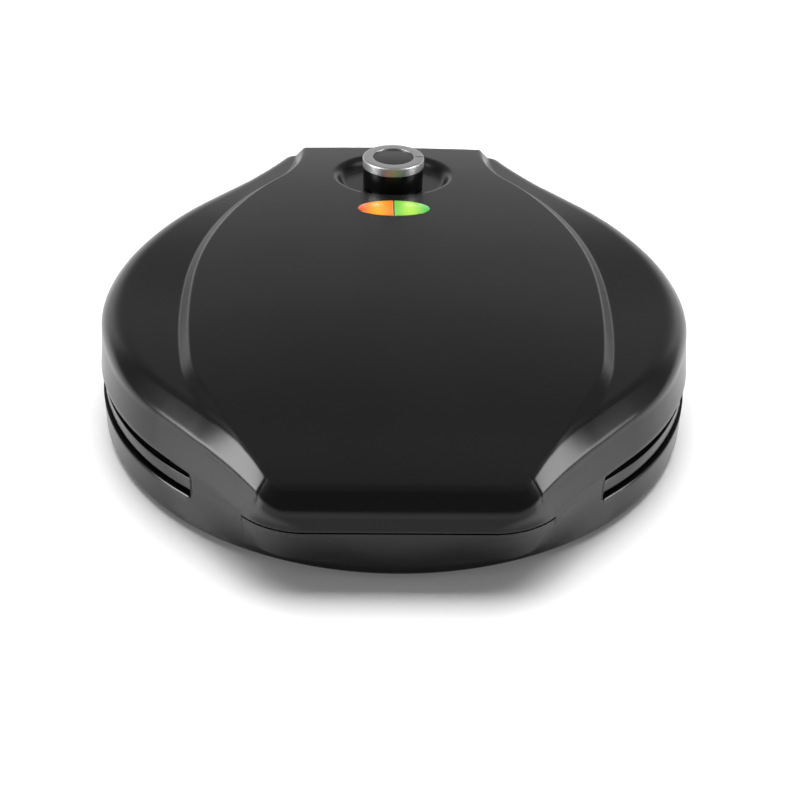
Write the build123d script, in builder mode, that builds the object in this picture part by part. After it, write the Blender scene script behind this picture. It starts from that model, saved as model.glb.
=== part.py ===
from build123d import *
import os
from math import asin, atan2, cos, degrees, pi, radians, sin, sqrt

os.makedirs("parts", exist_ok=True)

# Frame: millimetres, +Z up, the floor at Z 0, the front grip towards -Y.
# All plan shapes are drawn about the centre of the round cooking plates.
PLATE_Y = -9.0

# Housing outline in plan: round sides, a blunt nose in front, a flared neck behind
BODY_R = 171.0
NOSE_FRONT = 181.0
NOSE_CORNER_R = 44.0
NOSE_SIDE_ANGLE = 47.0
FLARE_START = 20.0
FLARE_R = 260.0
FLARE_TURN = 23.0
NECK_R = 150.0
NECK_TURN = 17.0
LID_BACK = 199.0
BASE_BACK = 178.0
BACK_CORNER_R = 12.0
APRON_HALF = 107.0
GRIP_HALF = 78.0
REAR_APRON_Y = 110.0
WALL = 2.5

# Heights above the floor
SHELL_BOTTOM = 4.0
BASE_RIM = 24.0
GRIP_FOOT = 15.0
APRON_TOP = 39.7
GRIP_TOP = 37.7
LID_RIM = 40.5
NOSE_LIP = 38.5
PLATES_MEET = 34.8

# Lid crown: ridge height at stations along Y, for the raised panel and for the shoulders
CROWN_STATIONS = (-205.0, -186.0, -172.0, -155.0, -130.0, -90.0, 0.0, 100.0, 215.0)
PANEL_HEIGHTS = (30.0, 50.0, 59.5, 67.5, 73.5, 78.2, 81.0, 80.8, 77.5)
SHOULDER_HEIGHTS = (24.0, 44.0, 53.0, 60.5, 67.5, 71.5, 73.0, 72.0, 69.0)
CROWN_REACH = 200.0
SHOULDER_EDGE_R = 9.0
PANEL_EDGE_R = 5.0

# Raised panel in plan: front line, straight flank, then tangent bends as (radius, turn)
PANEL_FRONT = 173.0
PANEL_CORNER_X = 71.8
PANEL_CORNER_R = 16.0
PANEL_BACK_R = 8.0
FLANK_ANGLE = 61.0
FLANK_END_Y = -114.0
PANEL_BENDS = ((110.0, 19.0), (480.0, 10.0), (260.0, 25.0), (180.0, 12.0), (73.0, -32.0))

# Cooking plates, drawn for the lower one; the upper one is its mirror image
FLOOR_R = 149.0
PLATE_R = 157.0
PLATE_BACK = 24.0
PLATE_FLOOR = 27.0
PLATE_RIM = 34.5
PLATE_LEDGE = 30.45
PLATE_BOSS_R = 4.0
PLATE_BOSS_SPOT = 70.0

# Heating element and its clamps
ELEMENT_R = 105.0
TUBE_R = 3.3
ELEMENT_Z = 20.5
LEG_X = 8.0
LEG_END = 132.0
LEG_BEND_R = 8.0
CLAMP_WIDTH = 8.0
CLAMP_SHEET = 1.1
CLAMP_REACH = 8.5

# Sheet reflector under each plate
REFLECTOR_Z = 11.5
SHEET = 0.8

# Bezels that carry the plates
BEZEL_R = 166.5
BEZEL_IN_R = 157.6
BEZEL_BACK = 21.0
BEZEL_TOP = 33.0
FLANGE_R = 168.2
CLIP_R = 159.5
BEZEL_PLATE_LOW = 41.0
BEZEL_PLATE_TOP = 43.5

# Hinge
AXIS_Y = 188.0
AXIS_Z = 32.0
HINGE_X = 48.0
TONGUE_WIDTH = 7.0
TONGUE_GAP = 0.3
TONGUE_R = 6.0
EAR_WIDTH = 5.2
EAR_R = 7.0
PIN_R = 2.5
PIN_FIT = 0.06

# Knob, its dish, thermostat and lamp window
KNOB_Y = 141.0
KNOB_R = 18.7
KNOB_FOOT = 77.0
KNOB_SHOULDER = 91.0
KNOB_TOP = 97.0
RING_R = 20.5
RING_IN_R = 13.4
DISH_Y = 149.0
DISH_HALF_X = 43.0
DISH_HALF_Y = 30.0
DISH_FLOOR = 76.0
DISH_SLOPE = 3.0
SHAFT_R = 3.0
SHAFT_FIT = 0.06
LENS_Y = 96.0
LENS_HALF_X = 22.5
LENS_HALF_Y = 11.0
LENS_TOP = 81.5
LENS_LOW = 76.8

# Screws
SCREW_R = 1.5
HEAD_R = 2.8
HEAD_HEIGHT = 1.6
SCREW_PLAY = 0.1

# Feet, floor vents, cord inlet, electrical parts
FOOT_R = 9.0
FOOT_STEM_R = 3.4
BASE_SCREW_SPOT = 162.0
VENT_R = 118.0
VENT_COUNT = 12
VENT_LENGTH = 24.0
VENT_WIDTH = 3.5
INLET_Z = 14.0
INLET_R = 6.0
INLET_BORE_R = 3.6
BEAD_LENGTH = 5.0
TAB_WIDTH = 5.0
TAB_LENGTH = 16.0
WIRE_R = 1.1
BLOCK_X = 30.0
BLOCK_Y = 162.0
THERMOSTAT_LOW = 59.5
THERMOSTAT_TOP = 72.0
BUSHING_TOP = 80.4
SHAFT_LOW = 63.0
SHAFT_TOP = 89.4
HOUSING_LOW = 62.0
FUSE_X = 45.0
FUSE_Y = 60.0

# Hinge brackets and arms
BRACKET_WIDTH = 34.0
BRACKET_HEIGHT = 16.0
BRACKET_Z = 30.5
BRACKET_SHEET = 2.5
BRACKET_SCREW_SPOTS = [(x, 29.0) for x in (-61.0, -35.0, 35.0, 61.0)]
ARM_TOP = 46.0
ARM_Y = 179.5
ARM_LENGTH = 28.0
ARM_SCREW_SPOTS = [(x, y) for x in (-48.0, 48.0) for y in (169.5, 177.0)]

FOOT_SPOTS = ((-95.0, -125.0), (95.0, -125.0), (-70.0, 150.0), (70.0, 150.0))
LID_SCREW_SPOTS = ((-52.0, -170.0), (52.0, -170.0), (-66.0, 178.0), (66.0, 178.0))
PLATE_AXIS = Axis((0, PLATE_Y, 0), (0, 0, 1))
MEETING_PLANE = Plane.XY.offset(PLATES_MEET)


def level(height):
    """Plan view at a height, with its origin on the plate axis."""
    return Plane(origin=(0, PLATE_Y, height))


def across(x):
    """Side view at a distance from the middle: first along Y, then up."""
    return Plane(origin=(x, PLATE_Y, 0), x_dir=(0, 1, 0), z_dir=(1, 0, 0))


def radial(angle):
    """Upright plane through the plate axis: first outwards, then up."""
    a = radians(angle)
    return Plane(origin=(0, PLATE_Y, 0), x_dir=(cos(a), sin(a), 0), z_dir=(sin(a), -cos(a), 0))


def on_circle(radius, angles):
    """Places on a circle about the plate axis."""
    return [(radius * cos(radians(a)), radius * sin(radians(a))) for a in angles]


def pegs(spots, radius, low, high, mode=Mode.ADD):
    """Upright round bars at the given places, or holes when they are subtracted."""
    with BuildSketch(level(low)) as rounds:
        with Locations(*spots):
            Circle(radius)
    extrude(rounds.sketch, amount=high - low, mode=mode)


def turned(points, mode=Mode.ADD):
    """Body of revolution about the plate axis from an outline of radius and height."""
    with BuildSketch(across(0)) as outline:
        with BuildLine():
            Polyline(*points, close=True)
        make_face()
    revolve(outline.sketch, axis=PLATE_AXIS, mode=mode)


CLAMP_ANGLES = (30, 150, 270)
BOSS_ANGLES = (90, 210, 330)
CLIP_ANGLES = (45, 135, 225, 315)
BASE_SCREW_ANGLES = (20, 160, 200, 340)

# Plan outline of the lid
side_angle = radians(NOSE_SIDE_ANGLE)
side_end = (BODY_R * sin(side_angle), -BODY_R * cos(side_angle))
nose_corner = side_end[0] - (NOSE_FRONT + side_end[1]) / sin(side_angle) * cos(side_angle)
with BuildSketch() as lid_plan:
    with BuildLine():
        FilletPolyline((0, -NOSE_FRONT), (nose_corner, -NOSE_FRONT), side_end, radius=NOSE_CORNER_R)
        side_arc = 90 - NOSE_SIDE_ANGLE + FLARE_START
        side = JernArc(side_end, (cos(side_angle), sin(side_angle)), BODY_R, side_arc)
        flare = JernArc(side @ 1, side % 1, FLARE_R, FLARE_TURN)
        neck = JernArc(flare @ 1, flare % 1, NECK_R, -NECK_TURN)
        back_run = (LID_BACK - (neck @ 1).Y) / (neck % 1).Y
        back_corner = neck @ 1 + (neck % 1) * back_run
        FilletPolyline(neck @ 1, back_corner, (0, LID_BACK), radius=BACK_CORNER_R)
        Line((0, LID_BACK), (0, -NOSE_FRONT))
    make_face()
    mirror(about=Plane.YZ)

# Plan outline of the raised panel, drawn past the back so that the lid's back wall trims it
with BuildSketch() as panel_plan:
    with BuildLine():
        flank = (cos(radians(FLANK_ANGLE)), sin(radians(FLANK_ANGLE)))
        flank_run = (FLANK_END_Y + PANEL_FRONT) / flank[1]
        flank_end = (PANEL_CORNER_X + flank[0] * flank_run, FLANK_END_Y)
        front_corner = (PANEL_CORNER_X, -PANEL_FRONT)
        FilletPolyline((0, -PANEL_FRONT), front_corner, flank_end, radius=PANEL_CORNER_R)
        end, heading = Vector(flank_end), Vector(flank)
        for bend_radius, turn in PANEL_BENDS:
            bend = JernArc(end, heading, bend_radius, turn)
            end, heading = bend @ 1, bend % 1
        last = end + heading * ((LID_BACK - end.Y) / heading.Y)
        FilletPolyline(end, last, (0, LID_BACK), radius=PANEL_BACK_R)
        Line((0, LID_BACK), (0, -PANEL_FRONT))
    make_face()
    mirror(about=Plane.YZ)

# Plan outline of the base behind its round tub, and the front apron
with BuildSketch() as rear_plan:
    add(lid_plan.sketch)
    with Locations((0, REAR_APRON_Y)):
        Rectangle(400, BASE_BACK - REAR_APRON_Y, align=(Align.CENTER, Align.MIN), mode=Mode.INTERSECT)
    fillet(rear_plan.vertices().group_by(Axis.Y)[-1], BACK_CORNER_R)
with BuildSketch() as tub_plan:
    Circle(BODY_R)
    add(rear_plan.sketch)
with BuildSketch() as apron_plan:
    add(lid_plan.sketch)
    offset(amount=-1.2)
    with Locations((0, -NOSE_FRONT)):
        Rectangle(2 * APRON_HALF, 100, align=(Align.CENTER, Align.MIN), mode=Mode.INTERSECT)
with BuildSketch() as grip_plan:
    add(lid_plan.sketch)
    offset(amount=-0.2)
    with Locations((0, -NOSE_FRONT)):
        Rectangle(2 * GRIP_HALF, 100, align=(Align.CENTER, Align.MIN), mode=Mode.INTERSECT)


def crowned_block(plan, inset, heights, edge_radius):
    """Upright block of a plan outline under a crowned top with a rounded edge. The inset moves its
    sides in and its top down by the thickness of a wall."""
    with BuildPart() as block:
        with BuildSketch(level(0)):
            add(plan)
            if inset:
                offset(amount=-inset)
        extrude(amount=KNOB_TOP)
        with BuildSketch(across(-CROWN_REACH)):
            with BuildLine():
                ridge = Spline([(y, h - inset) for y, h in zip(CROWN_STATIONS, heights)])
                sky = KNOB_TOP + 10
                Polyline(ridge @ 1, (CROWN_STATIONS[-1], sky), (CROWN_STATIONS[0], sky), ridge @ 0)
            make_face()
        extrude(amount=2 * CROWN_REACH, mode=Mode.SUBTRACT)
        fillet(block.faces().sort_by(Axis.Z)[-1].edges(), edge_radius - inset)
    return block.part


# Lid cover: one moulding with rounded shoulders and a raised panel, hollow inside, its wall one
# step lower across the nose. A dish in the panel holds the knob, an oval hole the lamp window.
shoulder_inside = crowned_block(lid_plan.sketch, WALL, SHOULDER_HEIGHTS, SHOULDER_EDGE_R)
panel_inside = crowned_block(panel_plan.sketch, WALL, PANEL_HEIGHTS, PANEL_EDGE_R)
shoulder_block = crowned_block(lid_plan.sketch, 0, SHOULDER_HEIGHTS, SHOULDER_EDGE_R)
panel_block = crowned_block(panel_plan.sketch, 0, PANEL_HEIGHTS, PANEL_EDGE_R)
with BuildPart() as lid_hollow:
    add(shoulder_inside)
    add(panel_inside)
    with BuildSketch(level(DISH_FLOOR - WALL)):
        with Locations((0, DISH_Y)):
            Ellipse(DISH_HALF_X - DISH_SLOPE + WALL, DISH_HALF_Y - DISH_SLOPE + WALL)
    with BuildSketch(level(KNOB_TOP)):
        with Locations((0, DISH_Y)):
            Ellipse(DISH_HALF_X + 2 * DISH_SLOPE + WALL, DISH_HALF_Y + 2 * DISH_SLOPE + WALL)
    loft(mode=Mode.SUBTRACT)
    pegs(LID_SCREW_SPOTS, 4.0, BEZEL_PLATE_TOP, KNOB_TOP, mode=Mode.SUBTRACT)

with BuildPart() as lid_cover:
    add(shoulder_block)
    add(panel_block)
    with BuildSketch(level(DISH_FLOOR)):
        with Locations((0, DISH_Y)):
            Ellipse(DISH_HALF_X - DISH_SLOPE, DISH_HALF_Y - DISH_SLOPE)
    with BuildSketch(level(KNOB_TOP)):
        with Locations((0, DISH_Y)):
            Ellipse(DISH_HALF_X + 2 * DISH_SLOPE, DISH_HALF_Y + 2 * DISH_SLOPE)
    loft(mode=Mode.SUBTRACT)
    add(lid_hollow.part, mode=Mode.SUBTRACT)
    pegs([(0, KNOB_Y)], 5.2, BEZEL_PLATE_TOP, KNOB_TOP, mode=Mode.SUBTRACT)
    pegs(LID_SCREW_SPOTS, SCREW_R + 0.03, BEZEL_PLATE_TOP, BEZEL_PLATE_TOP + 8, mode=Mode.SUBTRACT)
    with BuildSketch(level(BEZEL_PLATE_TOP)):
        with Locations((0, LENS_Y)):
            Ellipse(LENS_HALF_X + 0.2, LENS_HALF_Y + 0.2)
    extrude(amount=KNOB_TOP - BEZEL_PLATE_TOP, mode=Mode.SUBTRACT)
    with BuildSketch(level(NOSE_LIP)):
        Rectangle(500, 500)
    extrude(amount=-NOSE_LIP, mode=Mode.SUBTRACT)
    with BuildSketch(level(NOSE_LIP)):
        Rectangle(500, 500)
        with Locations((0, -NOSE_FRONT - 5)):
            Rectangle(2 * GRIP_HALF, 60, align=(Align.CENTER, Align.MIN), mode=Mode.SUBTRACT)
    extrude(amount=LID_RIM - NOSE_LIP, mode=Mode.SUBTRACT)
lid_cover.part.label = "lid_cover"
export_step(lid_cover.part, "parts/lid_cover.step")

# Lower shell: a round tub with a flared rear and a front apron, open at the top. The aprons rise
# to the lid outside the bezel, the grip panel stands proud of the front apron and tapers down.
bezel_clear = FLANGE_R - 0.9
with BuildPart() as lower_shell:
    with BuildSketch(level(SHELL_BOTTOM)):
        add(tub_plan.sketch)
    extrude(amount=BASE_RIM - SHELL_BOTTOM)
    fillet(lower_shell.faces().sort_by(Axis.Z)[0].edges(), 2)
    with BuildSketch(level(APRON_TOP)):
        add(apron_plan.sketch)
    extrude(amount=GRIP_FOOT - APRON_TOP, taper=20)
    with BuildSketch(level(BASE_RIM)):
        add(rear_plan.sketch)
    extrude(amount=APRON_TOP - BASE_RIM)
    with BuildSketch(level(GRIP_TOP)):
        with Locations((0, -NOSE_FRONT - 5)):
            Rectangle(2 * GRIP_HALF + 1, 60, align=(Align.CENTER, Align.MIN))
    extrude(amount=APRON_TOP - GRIP_TOP, mode=Mode.SUBTRACT)
    with BuildSketch(level(GRIP_TOP)):
        add(grip_plan.sketch)
    extrude(amount=GRIP_FOOT - GRIP_TOP, taper=20)
    pegs([(0, 0)], bezel_clear, BASE_RIM, APRON_TOP, mode=Mode.SUBTRACT)
    with BuildSketch(level(SHELL_BOTTOM + WALL)):
        add(tub_plan.sketch)
        offset(amount=-WALL)
    extrude(amount=BASE_RIM - SHELL_BOTTOM - WALL, mode=Mode.SUBTRACT)
    with BuildSketch(level(BASE_RIM)):
        add(rear_plan.sketch)
        offset(amount=-WALL)
        Circle(bezel_clear + WALL, mode=Mode.SUBTRACT)
    extrude(amount=APRON_TOP - WALL - BASE_RIM, mode=Mode.SUBTRACT)
    pegs(FOOT_SPOTS, FOOT_STEM_R + 0.1, SHELL_BOTTOM, SHELL_BOTTOM + WALL, mode=Mode.SUBTRACT)
    base_screw_spots = on_circle(BASE_SCREW_SPOT, BASE_SCREW_ANGLES)
    pegs(base_screw_spots, SCREW_R + SCREW_PLAY, SHELL_BOTTOM, SHELL_BOTTOM + WALL, Mode.SUBTRACT)
    with BuildSketch(level(SHELL_BOTTOM)):
        with PolarLocations(VENT_R, VENT_COUNT):
            SlotOverall(VENT_LENGTH, VENT_WIDTH, rotation=90)
    extrude(amount=WALL, mode=Mode.SUBTRACT)
    with BuildSketch(Plane(origin=(0, PLATE_Y + BASE_BACK, 0), x_dir=(1, 0, 0), z_dir=(0, -1, 0))):
        with Locations((0, INLET_Z)):
            Circle(INLET_R + 0.1)
        with Locations(*BRACKET_SCREW_SPOTS):
            Circle(SCREW_R + SCREW_PLAY)
    extrude(amount=WALL + 1, mode=Mode.SUBTRACT)
lower_shell.part.label = "lower_shell"
export_step(lower_shell.part, "parts/lower_shell.step")

# Rubber feet: a round pad under the shell, a stem through its floor and a button that holds it
with BuildPart() as rubber_feet:
    pegs(FOOT_SPOTS, FOOT_R, 0, SHELL_BOTTOM)
    pegs(FOOT_SPOTS, FOOT_STEM_R, SHELL_BOTTOM, SHELL_BOTTOM + WALL)
    pegs(FOOT_SPOTS, FOOT_STEM_R + 1, SHELL_BOTTOM + WALL, SHELL_BOTTOM + WALL + 1.5)
    fillet(rubber_feet.edges().group_by(Axis.Z)[0], 1)
rubber_feet.part.label = "rubber_feet"
export_step(rubber_feet.part, "parts/rubber_feet.step")

# Lower bezel: heat-resistant ring on the shell's rim with a ledge for the plate, a groove, a
# flange inside the shell and bosses for the screws from below
with BuildPart() as lower_bezel:
    turned([(156, BEZEL_BACK), (FLANGE_R, BEZEL_BACK), (FLANGE_R, 23.5), (163, 23.5), (163, 27),
            (BEZEL_R, 27), (BEZEL_R, BEZEL_TOP - 1), (BEZEL_R - 1, BEZEL_TOP),
            (BEZEL_IN_R, BEZEL_TOP), (BEZEL_IN_R, PLATE_LEDGE), (156, PLATE_LEDGE)])
    pegs(base_screw_spots, 4, SHELL_BOTTOM + WALL + 0.1, BEZEL_BACK)
    pegs(base_screw_spots, SCREW_R + 0.03, SHELL_BOTTOM + WALL, BEZEL_BACK - 2, mode=Mode.SUBTRACT)
    clip_spots = on_circle(CLIP_R, CLIP_ANGLES)
    pegs(clip_spots, 1.23, BEZEL_BACK, BEZEL_BACK + 5, mode=Mode.SUBTRACT)
lower_bezel.part.label = "lower_bezel"
export_step(lower_bezel.part, "parts/lower_bezel.step")

# Lower cooking plate: cast dish with a flat floor, a sloping wall and a rim that sits on the
# bezel's ledge. Three bosses on its back hold the reflector, small holes the element's clamps.
clamp_spots = on_circle(ELEMENT_R - CLAMP_REACH - 0.5, CLAMP_ANGLES)
clamp_spots += on_circle(ELEMENT_R + CLAMP_REACH + 0.5, CLAMP_ANGLES)
boss_spots = on_circle(PLATE_BOSS_SPOT, BOSS_ANGLES)
with BuildPart() as lower_plate:
    turned([(0, PLATE_BACK), (151, PLATE_BACK), (155, PLATE_LEDGE + 0.05), (PLATE_R, PLATE_LEDGE + 0.05),
            (PLATE_R, PLATE_RIM), (152.5, PLATE_RIM), (FLOOR_R, PLATE_FLOOR), (0, PLATE_FLOOR)])
    fillet(lower_plate.edges().filter_by(GeomType.CIRCLE).group_by(Axis.Z)[-1], 0.8)
    pegs(boss_spots, PLATE_BOSS_R, REFLECTOR_Z + SHEET, PLATE_BACK)
    pegs(boss_spots, SCREW_R + 0.03, REFLECTOR_Z + SHEET, REFLECTOR_Z + 9, mode=Mode.SUBTRACT)
    pegs(clamp_spots, 1.23, PLATE_BACK, PLATE_BACK + 2.2, mode=Mode.SUBTRACT)
lower_plate.part.label = "lower_plate"
export_step(lower_plate.part, "parts/lower_plate.step")

# Lower heating element: a sheathed tube bent to a ring, both ends turned out at the back
bend_y = sqrt((ELEMENT_R + LEG_BEND_R) ** 2 - (LEG_X + LEG_BEND_R) ** 2)
bend_angle = degrees(atan2(bend_y, LEG_X + LEG_BEND_R))
with BuildLine() as element_line:
    leg_in = Line((LEG_X, LEG_END), (LEG_X, bend_y))
    bend_in = JernArc(leg_in @ 1, leg_in % 1, LEG_BEND_R, bend_angle)
    ring = JernArc(bend_in @ 1, bend_in % 1, ELEMENT_R, -(180 + 2 * bend_angle))
    bend_out = JernArc(ring @ 1, ring % 1, LEG_BEND_R, bend_angle)
    Line(bend_out @ 1, (-LEG_X, LEG_END))
element_route = level(ELEMENT_Z).from_local_coords(element_line.line)
with BuildPart() as lower_element:
    with BuildSketch(Plane(origin=element_route @ 0, z_dir=element_route % 0)):
        Circle(TUBE_R)
    sweep(path=element_route)
lower_element.part.label = "lower_element"
export_step(lower_element.part, "parts/lower_element.step")

# Ceramic beads that close the element's ends, and the flat tabs that take the wires
leg_plane = Plane(origin=(0, PLATE_Y + LEG_END, ELEMENT_Z), x_dir=(1, 0, 0), z_dir=(0, -1, 0))
with BuildPart() as lower_beads:
    with BuildSketch(leg_plane):
        with Locations((-LEG_X, 0), (LEG_X, 0)):
            Circle(TUBE_R)
            Rectangle(TAB_WIDTH, SHEET, mode=Mode.SUBTRACT)
    extrude(amount=-BEAD_LENGTH)
lower_beads.part.label = "lower_element_beads"
export_step(lower_beads.part, "parts/lower_element_beads.step")
with BuildPart() as lower_tabs:
    with BuildSketch(level(ELEMENT_Z - SHEET / 2)):
        with Locations((-LEG_X, LEG_END + TAB_LENGTH / 2), (LEG_X, LEG_END + TAB_LENGTH / 2)):
            Rectangle(TAB_WIDTH, TAB_LENGTH)
    extrude(amount=SHEET)
lower_tabs.part.label = "lower_element_tabs"
export_step(lower_tabs.part, "parts/lower_element_tabs.step")

# Clamps: strips bent round the element's tube, screwed to the plate's back
with BuildPart() as lower_clamps:
    low_z, side_r = ELEMENT_Z - TUBE_R - CLAMP_SHEET, TUBE_R + CLAMP_SHEET
    foot_z = PLATE_BACK - CLAMP_SHEET
    for angle in CLAMP_ANGLES:
        with BuildSketch(radial(angle)) as strip:
            with Locations((ELEMENT_R, 0)):
                with Locations((0, low_z)):
                    Rectangle(2 * side_r, PLATE_BACK - low_z, align=(Align.CENTER, Align.MIN))
                with Locations((0, foot_z)):
                    Rectangle(2 * CLAMP_REACH + 6, CLAMP_SHEET, align=(Align.CENTER, Align.MIN))
                with Locations((0, low_z + CLAMP_SHEET)):
                    Rectangle(2 * TUBE_R + 0.3, PLATE_BACK, align=(Align.CENTER, Align.MIN),
                              mode=Mode.SUBTRACT)
        extrude(strip.sketch, amount=CLAMP_WIDTH / 2, both=True)
    pegs(clamp_spots, SCREW_R, foot_z, PLATE_BACK, mode=Mode.SUBTRACT)
lower_clamps.part.label = "lower_element_clamps"
export_step(lower_clamps.part, "parts/lower_element_clamps.step")
with BuildPart() as lower_clamp_screws:
    pegs(clamp_spots, 1.2, foot_z - 1, PLATE_BACK + 2)
    pegs(clamp_spots, 2.3, foot_z - HEAD_HEIGHT, foot_z)
lower_clamp_screws.part.label = "lower_clamp_screws"
export_step(lower_clamp_screws.part, "parts/lower_clamp_screws.step")

# Reflector: a shallow sheet dish under the element, and the screws that hold it to the plate
with BuildPart() as lower_reflector:
    turned([(0, REFLECTOR_Z), (137.5, REFLECTOR_Z), (141, 18.8), (145, 18.8), (145, 19.6),
            (140.4, 19.6), (137, REFLECTOR_Z + SHEET), (0, REFLECTOR_Z + SHEET)])
    pegs(boss_spots, SCREW_R + SCREW_PLAY, REFLECTOR_Z, REFLECTOR_Z + SHEET, mode=Mode.SUBTRACT)
lower_reflector.part.label = "lower_reflector"
export_step(lower_reflector.part, "parts/lower_reflector.step")
with BuildPart() as lower_reflector_screws:
    pegs(boss_spots, HEAD_R, REFLECTOR_Z - HEAD_HEIGHT, REFLECTOR_Z)
    pegs(boss_spots, SCREW_R, REFLECTOR_Z, REFLECTOR_Z + 8)
lower_reflector_screws.part.label = "lower_reflector_screws"
export_step(lower_reflector_screws.part, "parts/lower_reflector_screws.step")

# Clips under the bezel, each with a tip against the plate's back, and their screws
with BuildPart() as lower_clips:
    for angle in CLIP_ANGLES:
        with BuildSketch(radial(angle)) as clip:
            with BuildLine():
                Polyline((146.2, PLATE_BACK), (147.6, PLATE_BACK), (147.6, BEZEL_BACK), (163, BEZEL_BACK),
                         (163, BEZEL_BACK - 1.2), (146.2, BEZEL_BACK - 1.2), close=True)
            make_face()
        extrude(clip.sketch, amount=6, both=True)
    pegs(clip_spots, SCREW_R, BEZEL_BACK - 1.2, BEZEL_BACK, mode=Mode.SUBTRACT)
lower_clips.part.label = "lower_plate_clips"
export_step(lower_clips.part, "parts/lower_plate_clips.step")
with BuildPart() as lower_clip_screws:
    pegs(clip_spots, 2.3, BEZEL_BACK - 1.2 - HEAD_HEIGHT, BEZEL_BACK - 1.2)
    pegs(clip_spots, 1.2, BEZEL_BACK - 1.2, BEZEL_BACK + 4.5)
lower_clip_screws.part.label = "lower_clip_screws"
export_step(lower_clip_screws.part, "parts/lower_clip_screws.step")

# Screws through the shell's floor into the lower bezel's bosses
with BuildPart() as base_screws:
    pegs(base_screw_spots, HEAD_R, SHELL_BOTTOM - HEAD_HEIGHT, SHELL_BOTTOM)
    pegs(base_screw_spots, SCREW_R, SHELL_BOTTOM, SHELL_BOTTOM + 12)
base_screws.part.label = "base_screws"
export_step(base_screws.part, "parts/base_screws.step")

# The lid's own plate, element, clamps, reflector, clips and screws mirror those of the base
for upper_name, lower_part in (
    ("upper_plate", lower_plate.part),
    ("upper_element", lower_element.part),
    ("upper_element_beads", lower_beads.part),
    ("upper_element_tabs", lower_tabs.part),
    ("upper_element_clamps", lower_clamps.part),
    ("upper_clamp_screws", lower_clamp_screws.part),
    ("upper_reflector", lower_reflector.part),
    ("upper_reflector_screws", lower_reflector_screws.part),
    ("upper_plate_clips", lower_clips.part),
    ("upper_clip_screws", lower_clip_screws.part),
):
    with BuildPart() as upper:
        mirror(lower_part, about=MEETING_PLANE)
    upper.part.label = upper_name
    export_step(upper.part, f"parts/{upper_name}.step")

# Upper bezel: the same ring turned over, joined to a plate that closes the lid's underside
with BuildPart() as upper_bezel:
    mirrored = [(156, BEZEL_BACK), (FLANGE_R, BEZEL_BACK), (FLANGE_R, 23.5), (163, 23.5), (163, 27),
                (BEZEL_R, 27), (BEZEL_R, BEZEL_TOP - 1), (BEZEL_R - 1, BEZEL_TOP),
                (BEZEL_IN_R, BEZEL_TOP), (BEZEL_IN_R, PLATE_LEDGE), (156, PLATE_LEDGE)]
    turned([(r, 2 * PLATES_MEET - z) for r, z in mirrored])
    with BuildSketch(level(BEZEL_PLATE_LOW)):
        add(lid_plan.sketch)
        offset(amount=-WALL - 0.4)
        Circle(BEZEL_IN_R + 3, mode=Mode.SUBTRACT)
        with Locations((-HINGE_X, AXIS_Y), (HINGE_X, AXIS_Y)):
            Rectangle(TONGUE_WIDTH + 0.6, 2 * TONGUE_R + 1, mode=Mode.SUBTRACT)
    extrude(amount=BEZEL_PLATE_TOP - BEZEL_PLATE_LOW)
    pegs(LID_SCREW_SPOTS, SCREW_R + SCREW_PLAY, BEZEL_PLATE_LOW, BEZEL_PLATE_TOP, mode=Mode.SUBTRACT)
    pegs(LID_SCREW_SPOTS, HEAD_R + 0.2, BEZEL_PLATE_LOW, BEZEL_PLATE_LOW + HEAD_HEIGHT, Mode.SUBTRACT)
    pegs(ARM_SCREW_SPOTS, SCREW_R + 0.03, BEZEL_PLATE_LOW + 0.5, BEZEL_PLATE_TOP, mode=Mode.SUBTRACT)
    back = 2 * PLATES_MEET - BEZEL_BACK
    pegs(clip_spots, 1.23, back - 5, back, mode=Mode.SUBTRACT)
upper_bezel.part.label = "upper_bezel"
export_step(upper_bezel.part, "parts/upper_bezel.step")

# Screws through the upper bezel into the cover's bosses, heads sunk below the bezel's face
with BuildPart() as lid_screws:
    pegs(LID_SCREW_SPOTS, HEAD_R, BEZEL_PLATE_LOW + 0.2, BEZEL_PLATE_LOW + HEAD_HEIGHT)
    pegs(LID_SCREW_SPOTS, SCREW_R, BEZEL_PLATE_LOW + HEAD_HEIGHT, BEZEL_PLATE_TOP + 7)
lid_screws.part.label = "lid_screws"
export_step(lid_screws.part, "parts/lid_screws.step")

# Hinge arms of the lid: a flange on the upper bezel and a tongue down to the hinge pin
with BuildPart() as hinge_arms:
    for x in (-HINGE_X, HINGE_X):
        with BuildSketch(across(x - TONGUE_WIDTH / 2)) as tongue:
            with Locations((AXIS_Y, AXIS_Z)):
                Circle(TONGUE_R)
                Rectangle(9, ARM_TOP - AXIS_Z, align=(Align.CENTER, Align.MIN))
                Circle(PIN_R + PIN_FIT, mode=Mode.SUBTRACT)
        extrude(tongue.sketch, amount=TONGUE_WIDTH)
    with BuildSketch(level(BEZEL_PLATE_TOP)):
        with Locations((-HINGE_X, ARM_Y), (HINGE_X, ARM_Y)):
            Rectangle(14, ARM_LENGTH)
    extrude(amount=ARM_TOP - BEZEL_PLATE_TOP)
    pegs(ARM_SCREW_SPOTS, SCREW_R + SCREW_PLAY, BEZEL_PLATE_TOP, ARM_TOP, mode=Mode.SUBTRACT)
hinge_arms.part.label = "lid_hinge_arms"
export_step(hinge_arms.part, "parts/lid_hinge_arms.step")
with BuildPart() as arm_screws:
    pegs(ARM_SCREW_SPOTS, HEAD_R, ARM_TOP, ARM_TOP + HEAD_HEIGHT)
    pegs(ARM_SCREW_SPOTS, SCREW_R, BEZEL_PLATE_LOW + 0.6, ARM_TOP)
arm_screws.part.label = "hinge_arm_screws"
export_step(arm_screws.part, "parts/hinge_arm_screws.step")

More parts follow.
